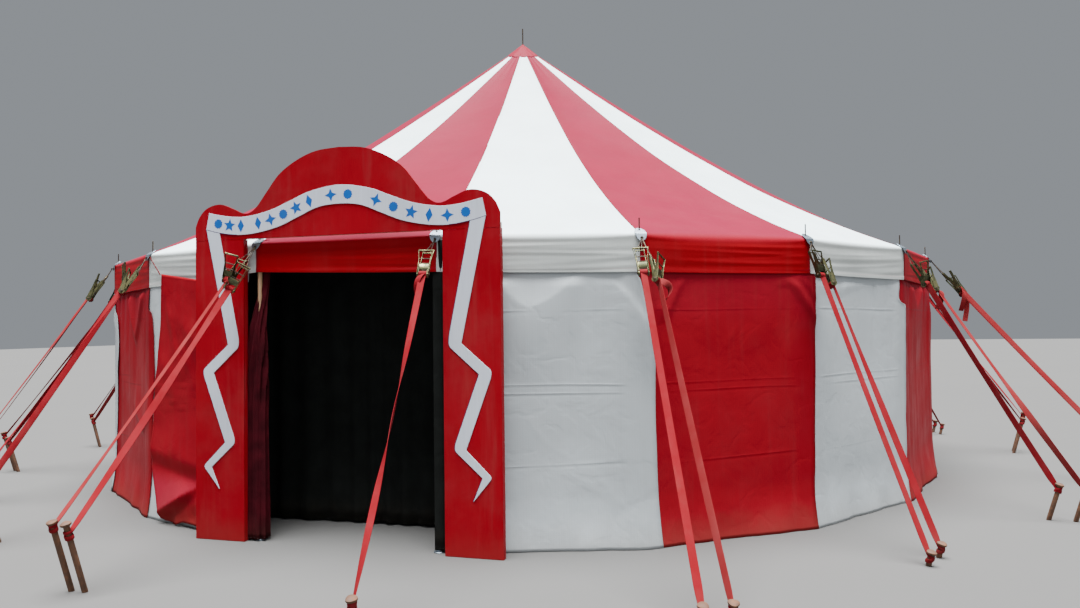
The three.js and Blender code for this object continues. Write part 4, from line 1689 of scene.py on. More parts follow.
@dataclass
class GuySets:
    """Eave plates, hooks, ratchets, webbing and stakes at every corner."""

    looks: Finishes
    plan: Plan = PLAN
    tilt: float = math.radians(35)
    drop: float = math.radians(72)
    lean: float = math.radians(16)
    plate_long: float = 0.068
    plate_wide: float = 0.043
    plate_middle: float = 0.037
    bend: float = 0.049
    eye_along: float = 0.084
    buckle: float = 0.215
    places: tuple[tuple[float, float], ...] = ((-0.032, 0.08), (0.04, 0.15))

    @property
    def plate_height(self) -> float:
        """Height of the plate's middle over the pole's axis: it clears the fold of the eave."""
        over = (self.plan.radius - self.plan.pole_circle) * math.tan(self.tilt)
        return self.plan.eave + 0.0004 + over + 0.002 / math.cos(self.tilt)

    def on_plate(self, along: Array) -> tuple[Array, Array, Array]:
        """The plate's middle line, whose slope turns from the roof's to the valance's round the bend.

        Args:
            along: distances from the pin.

        Returns:
            The place outward, the height and the slope at each distance.
        """
        s = np.linspace(-0.04, 0.12, 321)
        slope = self.tilt + (self.drop - self.tilt) * ease(s, self.bend - 0.007, self.bend + 0.007)
        x, z = (np.cumsum(way(slope)) * (s[1] - s[0]) for way in (np.cos, np.sin))
        x, z = x - np.interp(0, s, x), np.interp(0, s, z) - z
        return np.interp(along, s, x), self.plate_height + np.interp(along, s, z), np.interp(along, s, slope)

    def plate(self) -> list[Patch]:
        """The bent eave plate: an ellipse with two holes, as two rings that meet at the bend.

        Returns:
            Its patches.
        """
        edge = self.plate_wide * math.sqrt(1 - ((self.bend - self.plate_middle) / self.plate_long) ** 2)
        patches = []
        for centre, hole, sign in ((0.0, 0.0075, 1), (self.eye_along, 0.0105, -1)):
            to_bend = abs(self.bend - centre)
            corner = math.atan2(edge, to_bend)
            turn = np.concatenate([
                np.linspace(-corner, corner, 13)[:-1], np.linspace(corner, 2 * np.pi - corner, 31)[:-1],
            ])
            c, s = sign * np.cos(turn), np.sin(turn)
            off = centre - self.plate_middle
            qa = (c / self.plate_long) ** 2 + (s / self.plate_wide) ** 2
            qb, qc = 2 * off * c / self.plate_long**2, (off / self.plate_long) ** 2 - 1
            rim = (-qb + np.sqrt(qb**2 - 4 * qa * qc)) / (2 * qa)
            on_bend = np.arange(len(turn)) <= 12
            rim = np.where(on_bend, to_bend / np.maximum(np.cos(turn), 0.1), rim)
            trim = np.where(on_bend, 0.0, 0.0008)
            shares = np.array([0.0, 0.5, 1.0])
            under = [(hole + (rim - trim - hole) * k, -0.002) for k in shares]
            over = [(hole + (rim - trim - hole) * k, 0.002) for k in shares[::-1]]
            rows = []
            for r, h in [*under, (rim, -0.0012), (rim, 0.0012), *over]:
                x, z, slope = self.on_plate(centre + r * c)
                rows.append(np.stack([x + h * np.sin(slope), r * s, z + h * np.cos(slope)], -1))
            patches.append(Patch(np.stack(rows), around=True, loops=True, look=2))
        return patches

    def ratchet(self, handle: float, wound: float) -> list[Patch]:
        """One buckle along +X: frame plates, hook bolt, toothed wheels, spool of webbing and open handle.

        Args:
            handle: the handle's turn about the spool in radians.
            wound: the diameter of the webbing on the spool.

        Returns:
            Patches with look 0 steel, 1 dark steel and 3 webbing, with +Y across and +Z away from the tent.
        """
        end = self.buckle
        plate = ring(0.03, 0.003, 12, 5)
        patches = []
        for y in (-0.031, 0.031):
            knots = [
                (0.0, y, 0.0), (0.05, y, 0.0), (0.12, y, 0.002), (0.18, y, 0.004), (end + 0.018, y, 0.004),
            ]
            size = np.interp(
                np.linspace(0, 1, 12), [0, 0.06, 0.5, 0.75, 0.93, 1], [0.5, 0.66, 0.66, 1.2, 1.35, 0.7],
            )
            patches.append(carried(
                smooth_line(knots, 12), plate, (0, 0, 1), np.stack([size, np.ones(12)], -1), look=0,
            ))
        patches.append(pin(0.012, 0.036, 0, ring(0.009, sides=12)))
        patches.append(carried(
            smooth_line([(0.13, 0, 0.0), (0.15, 0, -0.006), (0.17, 0, -0.012)], 8),
            ring(0.055, 0.0024, 16, 6),
            (0, 1, 0),
            look=1,
        ))
        teeth = 12
        turn = 2 * np.pi * np.arange(teeth * 4) / (teeth * 4)
        saw = (turn * teeth / (2 * np.pi)) % 1
        rim = 0.0275 - 0.007 * saw**1.2
        for y in (-0.0365, 0.033):
            rows = [
                np.stack([end + r * np.cos(turn), np.full_like(turn, y + h), 0.004 + r * np.sin(turn)], -1)
                for r, h in ((rim, 0.0), (rim, 0.0035))
            ]
            patches.append(Patch(np.stack(rows), around=True, capped=True))
        patches.append(pin(end, 0.045, 0.004, ring(0.018), 0.002, look=1))
        patches.append(pin(end, 0.0265, 0.004, ring(wound, sides=20), 0.0015, look=3))
        return patches + self.grip(handle)

    def grip(self, handle: float) -> list[Patch]:
        """The ratchet's wide handle, swung open: two flared plates, a bar, two pins and a cross plate.

        Args:
            handle: its turn about the spool in radians.

        Returns:
            Patches with look 0 steel and 1 dark steel.
        """
        grip: list[Patch] = []
        for y in (-1, 1):
            knots = [
                (-0.014, 0.0395 * y, 0), (0.04, 0.0395 * y, 0.004), (0.1, 0.0405 * y, 0.01),
                (0.165, 0.049 * y, 0.014), (0.2, 0.0545 * y, 0.014),
            ]
            size = np.interp(np.linspace(0, 1, 13), [0, 0.1, 0.35, 0.55, 1], [0.6, 1.5, 1.25, 0.62, 0.42])
            grip.append(carried(
                smooth_line(knots, 13), ring(0.026, 0.003, 12, 5), (0, 0, 1),
                np.stack([size, np.ones(13)], -1), look=0,
            ))
        grip.append(pin(0.197, 0.057, 0.014, ring(0.0125, sides=14), 0.002))
        for x in (0.128, 0.086):
            grip.append(pin(x, 0.042, 0.01, ring(0.0075, sides=10), look=1))
        grip.append(rod((0.034, 0, 0.012), (0.078, 0, 0.016), ring(0.072, 0.0026, 16, 6), look=0))
        c, s = math.cos(handle), math.sin(handle)
        swing = shift(self.buckle, 0, 0.004, [(-c, 0, s), (0, 1, 0), (s, 0, c)])
        return [p.placed(swing) for p in grip]

    def hooks(self, eye: Array, foot: Array, across: Array, way: Array) -> list[Patch]:
        """A double wire hook: two wires that meet on their way up and turn through the plate's hole.

        Args:
            eye: the middle of the plate's hole.
            foot: the middle of the buckle's bolt.
            across: the way across the buckle.
            way: the way down the guy.

        Returns:
            Its patches.
        """
        patches = []
        out = np.cross(across, way)
        for y in (-1, 1):
            knots = [
                foot + across * 0.022 * y,
                foot - way * 0.014 + across * 0.019 * y,
                (foot + eye) / 2 + across * 0.008 * y,
                eye + across * 0.0035 * y - out * 0.006 + way * 0.012,
                eye + across * 0.0035 * y - out * 0.011 - way * 0.001,
                eye + across * 0.0035 * y - out * 0.003 - way * 0.012,
                eye + across * 0.0035 * y + out * 0.009 - way * 0.005,
                eye + across * 0.0035 * y + out * 0.012 + way * 0.01,
            ]
            patches.append(carried(smooth_line(knots, 24), ring(0.0066, 0, 7), across, look=1))
        return patches

    def stake(self, stake: Stake) -> list[Patch]:
        """A driven stake: a bar with a mushroomed, burred head, leaning out.

        Args:
            stake: its sizes.

        Returns:
            Its patches.
        """
        length = stake.top / math.cos(self.lean)
        profile = [
            (0.016, 0.0), (0.018, 0.006), (0.0182, length * 0.5), (0.018, length - 0.034),
            (0.0205, length - 0.026), (0.029, length - 0.021),
        ]
        profile += [
            (0.032, length - 0.015), (0.031, length - 0.008), (0.022, length - 0.002), (0.008, length),
        ]
        body = lathe(profile, 22)
        turn = np.arctan2(body.points[..., 1], body.points[..., 0])
        burr = 1 + 0.07 * np.sin(turn * 3 + stake.aside * 90) * (body.points[..., 2] > length - 0.03)
        body.points[..., :2] *= burr[..., None]
        body.points[0] -= np.array([0, 0, 0.006])
        placed = body.placed(self.stake_axes(stake))
        placed.points[..., 2] = np.maximum(placed.points[..., 2], 0.0)
        return [placed]

    def stake_axes(self, stake: Stake) -> Array:
        """The matrix from a stake's own upright frame to its corner's."""
        c, s = math.cos(self.lean), math.sin(self.lean)
        return shift(stake.foot, stake.aside, 0.0, [(c, 0, -s), (0, 1, 0), (s, 0, c)])

    def strap(
        self, start: Array, tie: Array, across: Array, turns: tuple[float, ...], seed: int, look: int,
    ) -> list[Patch]:
        """Taut webbing: a flat section carried along the line, turning smoothly through its marked turns.

        Args:
            start: the place on the spool.
            tie: the place on the stake.
            across: the way across the buckle.
            turns: degrees of turn at even places down it.
            seed: picks its small differences.
            look: the material's index.

        Returns:
            Its patches.
        """
        t = np.linspace(0, 1, 48)
        sag = np.array([0, 0, -0.012]) * (4 * t * (1 - t))[:, None]
        path = start + (tie - start) * t[:, None] + sag
        marked = smooth_line([(math.radians(v), 0, 0) for v in turns], 48)[:, 0]
        twist = marked + 0.04 * drift(t * 4, 0 * t, 0.7, seed)
        scale = np.stack([1 - 0.35 * ease(t, 0.94, 1.0), 1 + 1.4 * ease(t, 0.94, 1.0)], -1)
        return [carried(path, ring(0.05, 0.0032, 8, 7), across, scale, twist, look=look)]

    def choke(self, stake: Stake, seed: int) -> list[Patch]:
        """Webbing bunched round the stake: a flattened band wound on the bar in a spiral of three turns.

        Args:
            stake: its stake.
            seed: picks its small differences.

        Returns:
            Its patches.
        """
        turns = np.linspace(0, 3 * 2 * np.pi, 54)
        along = (
            stake.tie / math.cos(self.lean) + 0.02 * np.sin(turns * 0.5 + seed) + 0.01 * (turns / 19 - 0.5)
        )
        r = 0.0225 + 0.002 * np.sin(turns * 1.3 + seed)
        m = self.stake_axes(stake)
        path = np.stack([r * np.cos(turns), r * np.sin(turns), along], -1) @ m[:3, :3].T + m[:3, 3]
        wide = 0.75 + 0.25 * np.sin(turns * 0.8 + seed)
        return [carried(
            path, ring(0.03, 0.0065, 8, 3), m[:3, 2], np.stack([wide, np.ones_like(wide)], -1), look=0,
        )]

    def loose_end(
        self, start: Array, across: Array, face: Array, tail: float, seed: int, look: int,
    ) -> list[Patch]:
        """The strap's free end: it comes off the spool, swells outward and hangs, turning as it falls.

        Args:
            start: the place on the spool.
            across: the way across the buckle.
            face: the way out from the buckle.
            tail: its length, negative to the left.
            seed: picks its small differences.
            look: the material's index.

        Returns:
            Its patches.
        """
        t = np.linspace(0, 1, 34)[:, None]
        side, length = math.copysign(1.0, tail), abs(tail)
        aside = across * side * 0.045 * np.sin(t * 2.7) * (0.4 + 0.6 * t)
        path = (
            start + np.array([0, 0, -1.0]) * length * (0.25 * t + 0.75 * t**1.3) + aside
            + face * 0.05 * np.sin(t * 3.0)
        )
        twist = 0.3 * side + 1.7 * t[:, 0] + 0.4 * np.sin(t[:, 0] * 5 + seed)
        return [carried(path, ring(0.048, 0.003, 16, 7), across, 1.0, twist, look=look)]

    def guy(self, n: int, k: int, stake: Stake) -> tuple[list[Patch], list[Patch]]:
        """One guy in its corner's frame.

        Args:
            n: the corner.
            k: 0 for its first guy and 1 for its second.
            stake: the stake that it is tied to.

        Returns:
            The steel patches and the webbing patches.
        """
        side, start = self.places[k]
        side = 0.012 if (n, k) == (20, 1) else side
        hold = HOLDS.get(n, USUAL_HOLDS)[k]
        stray = 0.0 if n in HOLDS else float(spun(n, k, 3)) - 0.5
        x, z, _ = self.on_plate(self.eye_along)
        eye = np.array([float(x), 0.0, float(z)])
        across = np.array([0.0, 1.0, 0.0])
        tie = np.array([stake.foot + stake.tie * math.tan(self.lean), stake.aside, stake.tie])
        beside = np.array([eye[0], side, eye[2]])
        way = unit(tie - beside)
        lean_out = unit(np.cross(across, way))
        rolled = math.radians(hold.roll) + 0.25 * stray
        side_way = math.cos(rolled) * unit(np.cross(way, lean_out)) + math.sin(rolled) * lean_out
        face = np.cross(way, side_way)
        top = beside + way * (start + LONGER_HOOKS.get(n, 0.0))
        axes = shift(*top, axes=[way, side_way, face])
        buckle = [
            p.placed(axes)
            for p in self.ratchet(math.radians(hold.handle + 9 * stray), 0.04 + 0.012 * float(spun(n, k, 7)))
        ]
        steel = [p for p in buckle if p.look < 3] + self.hooks(eye, top + way * 0.012, side_way, way)
        webbing = [replace(p, look=0) for p in buckle if p.look == 3]
        spool = top + way * (self.buckle + 0.004) + face * 0.014
        look = int(hold.pale or (n not in HOLDS and float(spun(n, k, 9)) > 0.62))
        turns = tuple(v + 20 * stray for v in hold.turns)
        webbing += self.strap(spool, tie, across, turns, n * 7 + k, look) + self.choke(stake, n + 3 * k)
        if hold.tail:
            webbing += self.loose_end(spool, across, face, hold.tail, n + k, look)
        return steel, webbing

    def corner(self, n: int) -> None:
        """One corner's plate, hooks, ratchets, straps and stakes, as three pieces.

        Args:
            n: the corner.
        """
        steel, webbing, iron = Sewn(), Sewn(), Sewn()
        m = self.plan.at_corner(n, self.plan.pole_circle)
        steel.add(self.plate(), m)
        for k, stake in enumerate(STAKES.get(n, USUAL_STAKES)):
            metal, straps = self.guy(n, k, stake)
            steel.add(metal, m)
            webbing.add(straps, m)
            iron.add(self.stake(stake), m)
        if n == 19:
            corner = np.linalg.inv(m) @ np.array([*beside_door(-0.45, 0.03, 2.06), 1.0])
            ends = np.array([[0.04, 0.02, 2.235], corner[:3]])
            webbing.add([carried(np.linspace(*ends, 8), ring(0.012, 0.003, 8, 4), (0, 0, 1))], m)
        node = f"guy_set_{n:02d}"
        looks = self.looks
        finish_piece(
            steel.mesh(f"ratchets_{n:02d}"), [looks.gold_zinc, looks.dark_zinc, looks.zinc],
            [node],
        )
        finish_piece(webbing.mesh(f"straps_{n:02d}"), [looks.strap, looks.pale_strap], [node])
        finish_piece(iron.mesh(f"stakes_{n:02d}"), [looks.rust], [node])

    def build(self) -> None:
        """Makes the twenty corners."""
        for n in range(1, self.plan.bays + 1):
            self.corner(n)


# Entrance


BATTEN = ring(0.04, square=8)


@dataclass
class EntranceFront:
    """The painted front: a cloud-topped board on battens with a ribbon and its zigzag tails."""

    looks: Finishes
    plan: Plan = PLAN
    half_width: float = 1.24
    door_half: float = 0.81
    door_top: float = 2.28
    depth: float = 0.055
    board: float = 0.015
    broken: float = 0.0015
    clear: float = 0.0003
    ribbon_thick: float = 0.005
    crest: tuple[tuple[float, float], ...] = (
        (0.0, 2.924), (0.19, 2.908), (0.352, 2.85), (0.497, 2.757), (0.601, 2.636), (0.69, 2.525),
        (0.745, 2.483), (0.79, 2.472), (0.838, 2.483), (0.9, 2.512), (1.018, 2.553), (1.13, 2.53),
        (1.2, 2.468), (1.24, 2.385),
    )

    groups: tuple[tuple[float, float, int], ...] = (
        (-1.03, -0.83, 3), (-0.68, -0.245, 5), (-0.065, 0.075, 2), (0.3, 0.99, 6),
    )
    shapes: tuple[tuple[int, float, float], ...] = (
        (5, 0.45, 0.052), (2, 0.55, 0.05), (4, 0.42, 0.05), (12, 0.86, 0.038),
    )

    @property
    def back(self) -> float:
        """The y of the battens' backs."""
        return -(self.plan.radius * math.cos(self.plan.half) + 0.0004)

    @property
    def face(self) -> float:
        """The y of the board's face."""
        return self.back - self.depth

    def crest_height(self, x: Array) -> Array:
        """The board's top edge over x: a smooth curve through the crest's points, the same on both sides."""
        line = smooth_line([(a, b, 0) for a, b in self.crest], 400)
        return np.interp(np.abs(x), line[:, 0], line[:, 1])

    def slab(self, x: Array, low: Array, high: Array, front: float, back: float, rows: int) -> Patch:
        """A board between two heights over x.

        Its outline is drawn in by the broken edge at the face and the back, and full between them.

        Args:
            x: places across, from left to right.
            low: lower edge at each x.
            high: upper edge at each x.
            front: y of the face.
            back: y of the back.
            rows: how many cells from bottom to top.

        Returns:
            A closed patch: columns run across the face and return across the back.
        """
        edge = self.broken
        t = np.linspace(0, 1, rows + 1)[:, None]
        z = low + (high - low) * t
        t_in = np.clip(t, edge, 1 - edge)
        z_in = low + (high - low) * t_in
        x_in = x.copy()
        x_in[0] += edge
        x_in[-1] -= edge
        sheets = [
            (x_in, front, z_in), (x, front + edge, z), (x[::-1], back - edge, z[:, ::-1]),
            (x_in[::-1], back, z_in[:, ::-1]),
        ]
        points = np.concatenate([together(a, b, c) for a, b, c in sheets], 1)
        base = points[:1].copy()
        base[..., 1] = (points[:1, ::-1, 1] + points[:1, :, 1]) / 2
        crown = points[-1:].copy()
        crown[..., 1] = (points[-1:, ::-1, 1] + points[-1:, :, 1]) / 2
        return Patch(np.concatenate([base, points, crown], 0), around=True)

    def boards(self) -> None:
        """The red board over the door and down both legs, with its battens and rail behind."""
        sides = np.linspace(self.door_half, self.half_width, 40)
        over = np.linspace(-self.half_width, self.half_width, 241)
        front, back = self.face, self.face + self.board
        arch = self.slab(over, np.full_like(over, self.door_top), self.crest_height(over), front, back, 8)
        rail = rod((-1.235, back + 0.02, 2.3), (1.235, back + 0.02, 2.3), BATTEN, (0, 1, 0), 0.002, look=1)
        cleats = [
            rod(
                (x, back + 0.01, 2.33), (x, back + 0.01, float(self.crest_height(x)) - 0.06),
                ring(0.04, 0.02, 16, 8), (1, 0, 0), 0.002, look=1,
            )
            for x in (-0.55, 0.0, 0.55)
        ]
        piece = Sewn([arch, rail, *cleats]).mesh("front_arch_board")
        finish_piece(piece, [self.looks.red_paint, self.looks.bare_ply], ["front_arch"])
        for side in Side:
            x = sides if side is Side.RIGHT else -sides[::-1]
            name = side.name.lower()
            leg = self.slab(
                x, np.full_like(x, 0.0), np.full_like(x, self.door_top - 0.0004), front, back, 16,
            )
            battens = []
            for at in (self.door_half + 0.02, self.half_width - 0.02):
                middle = (side.value * at, (back + self.back) / 2)
                battens.append(rod((*middle, 0), (*middle, self.door_top - 0.002), BATTEN, (1, 0, 0), 0.002))
            piece = Sewn([leg, *battens]).mesh(f"front_leg_board_{name}")
            finish_piece(piece, [self.looks.red_paint], [f"front_leg_{name}"])

    def band(self, upper: Array, lower: Array, thick: float, lift: float = 0.0) -> Patch:
        """A flat band between two lines [x, z] on the board's face: across it, over its edges and back.

        Args:
            upper: one line.
            lower: the other.
            thick: how far it stands out.
            lift: how far its back stands off the face.

        Returns:
            The band as a patch.
        """
        f = self.face - self.clear - lift
        wide = unit(upper - lower) * 0.0012
        rows = [
            (lower, f), (lower, f - thick + 0.001), (lower + wide, f - thick), (upper - wide, f - thick),
            (upper, f - thick + 0.001), (upper, f),
        ]
        points = np.stack(
            [np.stack([line[:, 0], np.full(len(line), y), line[:, 1]], -1) for line, y in rows],
            1,
        )
        return Patch(points, around=True, capped=True)

    def arc_lines(self) -> tuple[Array, Array]:
        """The ribbon's upper and lower lines, smooth curves through its measured points, left to right.

        Returns:
            Points [x, z] of both lines.
        """
        upper = [
            (1.112, 2.49), (0.95, 2.458), (0.79, 2.449), (0.592, 2.483), (0.416, 2.545), (0.242, 2.609),
            (0.0, 2.645),
        ]
        lower = [
            (1.139, 2.363), (1.02, 2.333), (0.862, 2.313), (0.69, 2.322), (0.5, 2.362), (0.34, 2.425),
            (0.17, 2.49), (0.0, 2.506),
        ]
        lines = []
        for knots in (upper, lower):
            knots = [(-x, z, 0) for x, z in knots] + [(x, z, 0) for x, z in knots[-2::-1]]
            lines.append(smooth_line(knots, 121)[:, :2])
        return lines[0], lines[1]

    def tail_lines(self, sign: int) -> tuple[Array, Array]:
        """A tail's outer and inner lines: zigzags from the arc to the point, their outer knees rounded.

        Args:
            sign: 1 for the right tail and -1 for the left.

        Returns:
            Points [x, z] of both lines.
        """
        outer = [
            (1.136, 2.362), (0.947, 1.48), (1.177, 1.282), (0.975, 0.74), (1.166, 0.556), (1.032, 0.396),
        ]
        inner = [
            (1.022, 2.334), (0.843, 1.47), (1.076, 1.266), (0.882, 0.742), (1.095, 0.552), (1.026, 0.388),
        ]
        lines = []
        for knots, round_at in ((outer, (2, 4)), (inner, (1, 3))):
            knots = np.asarray(knots)
            t = np.linspace(0, len(knots) - 1, 241)
            i = np.minimum(t.astype(int), len(knots) - 2)
            line = knots[i] + (knots[i + 1] - knots[i]) * (t - i)[:, None]
            for k in round_at:
                near = np.abs(t - k) < 0.11
                w = (t[near] - k + 0.11) / 0.22
                a, c = (
                    knots[k] + 0.11 * (knots[k - 1] - knots[k]), knots[k] + 0.11 * (knots[k + 1] - knots[k])
                )
                line[near] = (
                    ((1 - w) ** 2)[:, None] * a + (2 * w * (1 - w))[:, None] * knots[k] + (w**2)[:, None] * c
                )
            lines.append(line * [sign, 1])
        return lines[0], lines[1]

    def star(self, at: Array, turn: float, size: float, points: int, sharp: float) -> Patch:
        """A painted star or lozenge on the ribbon: the radius swings from the size to sharp times it.

        Args:
            at: its middle [x, z].
            turn: its turn in radians.
            size: its radius.
            points: how many points it has.
            sharp: the inner radius over the outer.

        Returns:
            The motif as a patch.
        """
        a = np.arange(2 * points) * np.pi / points + turn + np.pi / 2
        r = size * np.where(np.arange(2 * points) % 2 == 0, 1.0, sharp)
        x, z = at[0] + r * np.cos(a), at[1] + r * np.sin(a)
        f = self.face - self.clear - self.ribbon_thick
        rows = [np.stack([x, np.full_like(x, y), z], -1) for y in (f + 0.0004, f - 0.0006)]
        return Patch(np.stack(rows), around=True, capped=True)

    def ribbon(self) -> None:
        """The pale ribbon with dark fold lines, painted shadow lines beside the tails' left edges, and a row
        of painted stars and lozenges along it.
        """
        upper, lower = self.arc_lines()
        patches = [self.band(upper, lower, self.ribbon_thick)]
        lines = []
        for side in Side:
            outer, inner = self.tail_lines(side.value)
            patches.append(self.band(inner[::-1], outer[::-1], self.ribbon_thick))
            # Painted shadow: a dark strip on the board just left of each tail's left edge.
            edge = outer if side is Side.LEFT else inner
            lines.append(self.band(edge + [-0.0015, 0], edge + [-0.006, 0], 0.0012))
            end = slice(0, 18) if side is Side.LEFT else slice(-18, None)
            fold = lower[end]
            lines.append(self.band(fold + [0, 0.003], fold - [0, 0.0015], 0.0006, self.ribbon_thick))
        piece = Sewn(patches).mesh("ribbon_board")
        finish_piece(piece, [self.looks.pale_paint], ["front_ribbon"])
        finish_piece(Sewn(lines).mesh("ribbon_lines_and_shadows"), [self.looks.line_and_shadow_paint])
        middle = (upper + lower) / 2
        way = np.gradient(middle, axis=0)
        lean = np.arctan2(way[:, 1], way[:, 0])
        motifs = []
        for start, end, count in self.groups:
            for k, x in enumerate(np.linspace(start, end, count)):
                at = np.array([x, np.interp(x, middle[:, 0], middle[:, 1])])
                turn = float(np.interp(x, middle[:, 0], lean))
                points, sharp, size = self.shapes[(k + count) % len(self.shapes)]
                motifs.append(self.star(at, turn, size, points, sharp))
        finish_piece(Sewn(motifs).mesh("ribbon_motifs"), [self.looks.blue_paint])

    def build(self) -> None:
        """Makes the boards and the ribbon."""
        self.boards()
        self.ribbon()


def beside_door(x: Array, off: Array, z: Array) -> Array:
    """Places left of the door: x metres from the bay's middle, standing off a plane before the wall.

    Args:
        x: metres across.
        off: the stand-off.
        z: height.

    Returns:
        The points.
    """
    away = (PLAN.wall + Walls.flare) * math.cos(PLAN.half) + 0.004 + off
    c, s = math.cos(2 * PLAN.half), math.sin(2 * PLAN.half)
    return together(x * c - away * s, -x * s - away * c, z)


@dataclass
class Drapes:
    """Cloth in and beside the entrance: the drape, the velvet curtain and the door sheet pulled aside."""

    looks: Finishes
    plan: Plan = PLAN
    drape_thick: float = 0.0012
    velvet_thick: float = 0.0016
    sheet_thick: float = 0.0014
    velvet_top: float = 2.28
    sheet_top: float = 2.066
    sheet_edge: Edge = (
        (2.066, -0.455), (1.706, -0.47), (1.371, -0.492), (1.178, -0.529), (0.866, -0.567), (0.445, -0.6),
        (0.105, -0.427), (0.0, -0.435),
    )

    def hung(self, name: str, plan: Array, low: Array, high: Array, rows: int, sway: Array) -> Piece:
        """A hung sheet: a line in plan, each column running from high to low and moved by the sway.

        Args:
            name: the object's name.
            plan: [x, y] at each column.
            low: the foot's height at each column.
            high: the top's height at each column.
            rows: how many points down it.
            sway: [x, y] moves, rows by columns.

        Returns:
            The object with its UV map in metres.
        """
        t = np.linspace(0, 1, rows)[:, None]
        z = high + (low - high) * t
        flat = plan[None] + sway
        points = np.concatenate([flat, z[..., None]], -1)
        uv = together(run_along(plan)[None, :], high.max() - z)
        return Sewn([Patch(points, turned=True, uv=uv)]).mesh(name)

    def lobby(self) -> None:
        """The black drape across the back of the doorway and up its right side, in soft upright folds."""
        p = self.plan
        corner = np.array([
            [-1.13, -4.2], [-1.1, -4.03], [-1.06, -3.994], [0.77, -3.994], [0.811, -4.03], [0.814, -4.53],
            [0.8, -4.612], [0.77, -4.635], [0.73, -4.6365], [0.705, -4.63],
        ])
        run = run_along(corner)
        even = np.linspace(0, run[-1], 230)
        line = np.stack([np.interp(even, run, corner[:, 0]), np.interp(even, run, corner[:, 1])], -1)
        way = unit(np.gradient(line, axis=0))
        out = np.stack([way[:, 1], -way[:, 0]], -1)
        rows = 24
        down = np.linspace(0, 1, rows)[:, None]
        fold = (
            0.016 * np.sin(even * 34 + 2.2 * np.sin(even * 5)) * (0.35 + 0.65 * down)
            + 0.008 * drift(even, down, 0.2, 3)
        )
        fold = fold * (1 - ease(even, run[-1] - 0.25, run[-1] - 0.12))
        reach = np.hypot(line[:, 0], line[:, 1])
        turn = np.arctan2(line[:, 0], -line[:, 1])
        chord = reach * np.cos(turn - 2 * p.half * np.round(turn / (2 * p.half))) / math.cos(p.half)
        high = p.height(chord) - 0.035
        low = 0.014 + 0.006 * (1 + drift(even, 0 * even, 0.2, 5))
        piece = self.hung("entrance_drape_cloth", line, low, high, rows, out[None] * fold[..., None])
        thicken(piece, self.drape_thick)
        finish_piece(piece, [self.looks.black], ["entrance_drape"])

    def velvet(self) -> None:
        """The velvet curtain gathered at the left pole.

        A bunch whose outline is a wavy ring, full below and drawn in at the tie.
        """
        rows, cols = 52, 112
        t = np.linspace(0, 1, rows)[:, None]
        z = self.velvet_top * (1 - t) + 0.015 * t
        a = np.linspace(0, 2 * np.pi, cols + 1)[None, :-1]
        falls = ease(z, 2.12, 1.5)
        cx = -0.692 - 0.056 * falls + 0.004 * np.sin(z * 2.2)
        cy = -4.572 - 0.043 * falls
        full = 0.031 + 0.053 * ease(z, 2.05, 1.35) - 0.005 * bump(z - 0.9, 0.3)
        turn = 1.6 * ease(z, 2.1, 0.9)
        pleat = (
            0.16 * np.sin(7 * a + 7 * turn + 1.2 * np.sin(z * 2.1)) + 0.11 * np.sin(11 * a + 9 * turn)
            + 0.06 * np.sin(17 * a - z)
        )
        r = full * (1 + pleat)
        x, y = cx + r * np.cos(a) * 0.95, cy + r * np.sin(a) * 0.55
        points = together(x, y, z)
        closed = np.concatenate([a[0], [2 * np.pi]])
        uv = together(closed[None, :] * 0.15, self.velvet_top - z)
        piece = Sewn([Patch(points, around=True, turned=True, uv=uv)]).mesh("velvet_curtain_cloth")
        thicken(piece, self.velvet_thick)
        finish_piece(piece, [self.looks.velvet], ["velvet_curtain"])

    def door_relief(self, x: Array, z: Array) -> Array:
        """The door sheet's stand-off.

        It is slack above, bulges over a tuck, comes out in a facet to a ridge, and is turned under at its
        foot. The tuck falls to the right and the ridge rises to meet it, so the facet is a triangle.

        Args:
            x: metres across from the bay's middle.
            z: height.

        Returns:
            The stand-off in metres.
        """
        tuck = 0.464 - 0.148 * (x + 0.574)
        ridge = np.minimum(0.105 + 0.49 * (x + 0.427), tuck)
        facet = 0.06 * np.clip((tuck - ridge) / 0.15, 0, 1)
        above = z - tuck
        folds = Fold(-0.2, 1.69, 0.25, -0.86, 0.009, 0.3, 0.2, (0.12, 0.4)).lift(x, z)
        folds = folds + Fold(-0.3, 1.25, 0.9, 0.6, 0.007, 0.4, 0.2, (0.2, 0.3)).lift(x, z)
        for crease in (
            Crease((-0.4, 1.9), (-0.16, 1.22), 0.006, 0.04), Crease((-0.2, 1.6), (0.0, 1.15), 0.004, 0.035),
        ):
            folds = folds + crease.lift(x, z)
        for level in (1.135, 1.08, 1.0, 0.965):
            folds = folds + 0.0035 * bump(z - level - 0.012 * np.sin(x * 7 + level * 40), 0.007)
        slack = 0.022 + 0.011 * drift(x, z, 0.4, 3) + 0.004 * drift(x, z, 0.13, 5) + folds
        bulge = 0.018 * (1 - ease(above, 0.12, 0.6))
        hung = 0.014 + (slack + bulge - 0.014) * ease(above, 0.0, 0.16)
        out = 0.014 + facet * np.clip(-above / np.maximum(tuck - ridge, 0.01), 0, 1)
        under = (
            0.014 + facet * (1 - ease(ridge - z, 0.0, 0.09))
            + 0.012 * (1 + drift(x, z, 0.1, 7)) * ease(ridge - z, 0.0, 0.1)
        )
        return np.where(above > 0, hung, np.where(z > ridge, out, under))

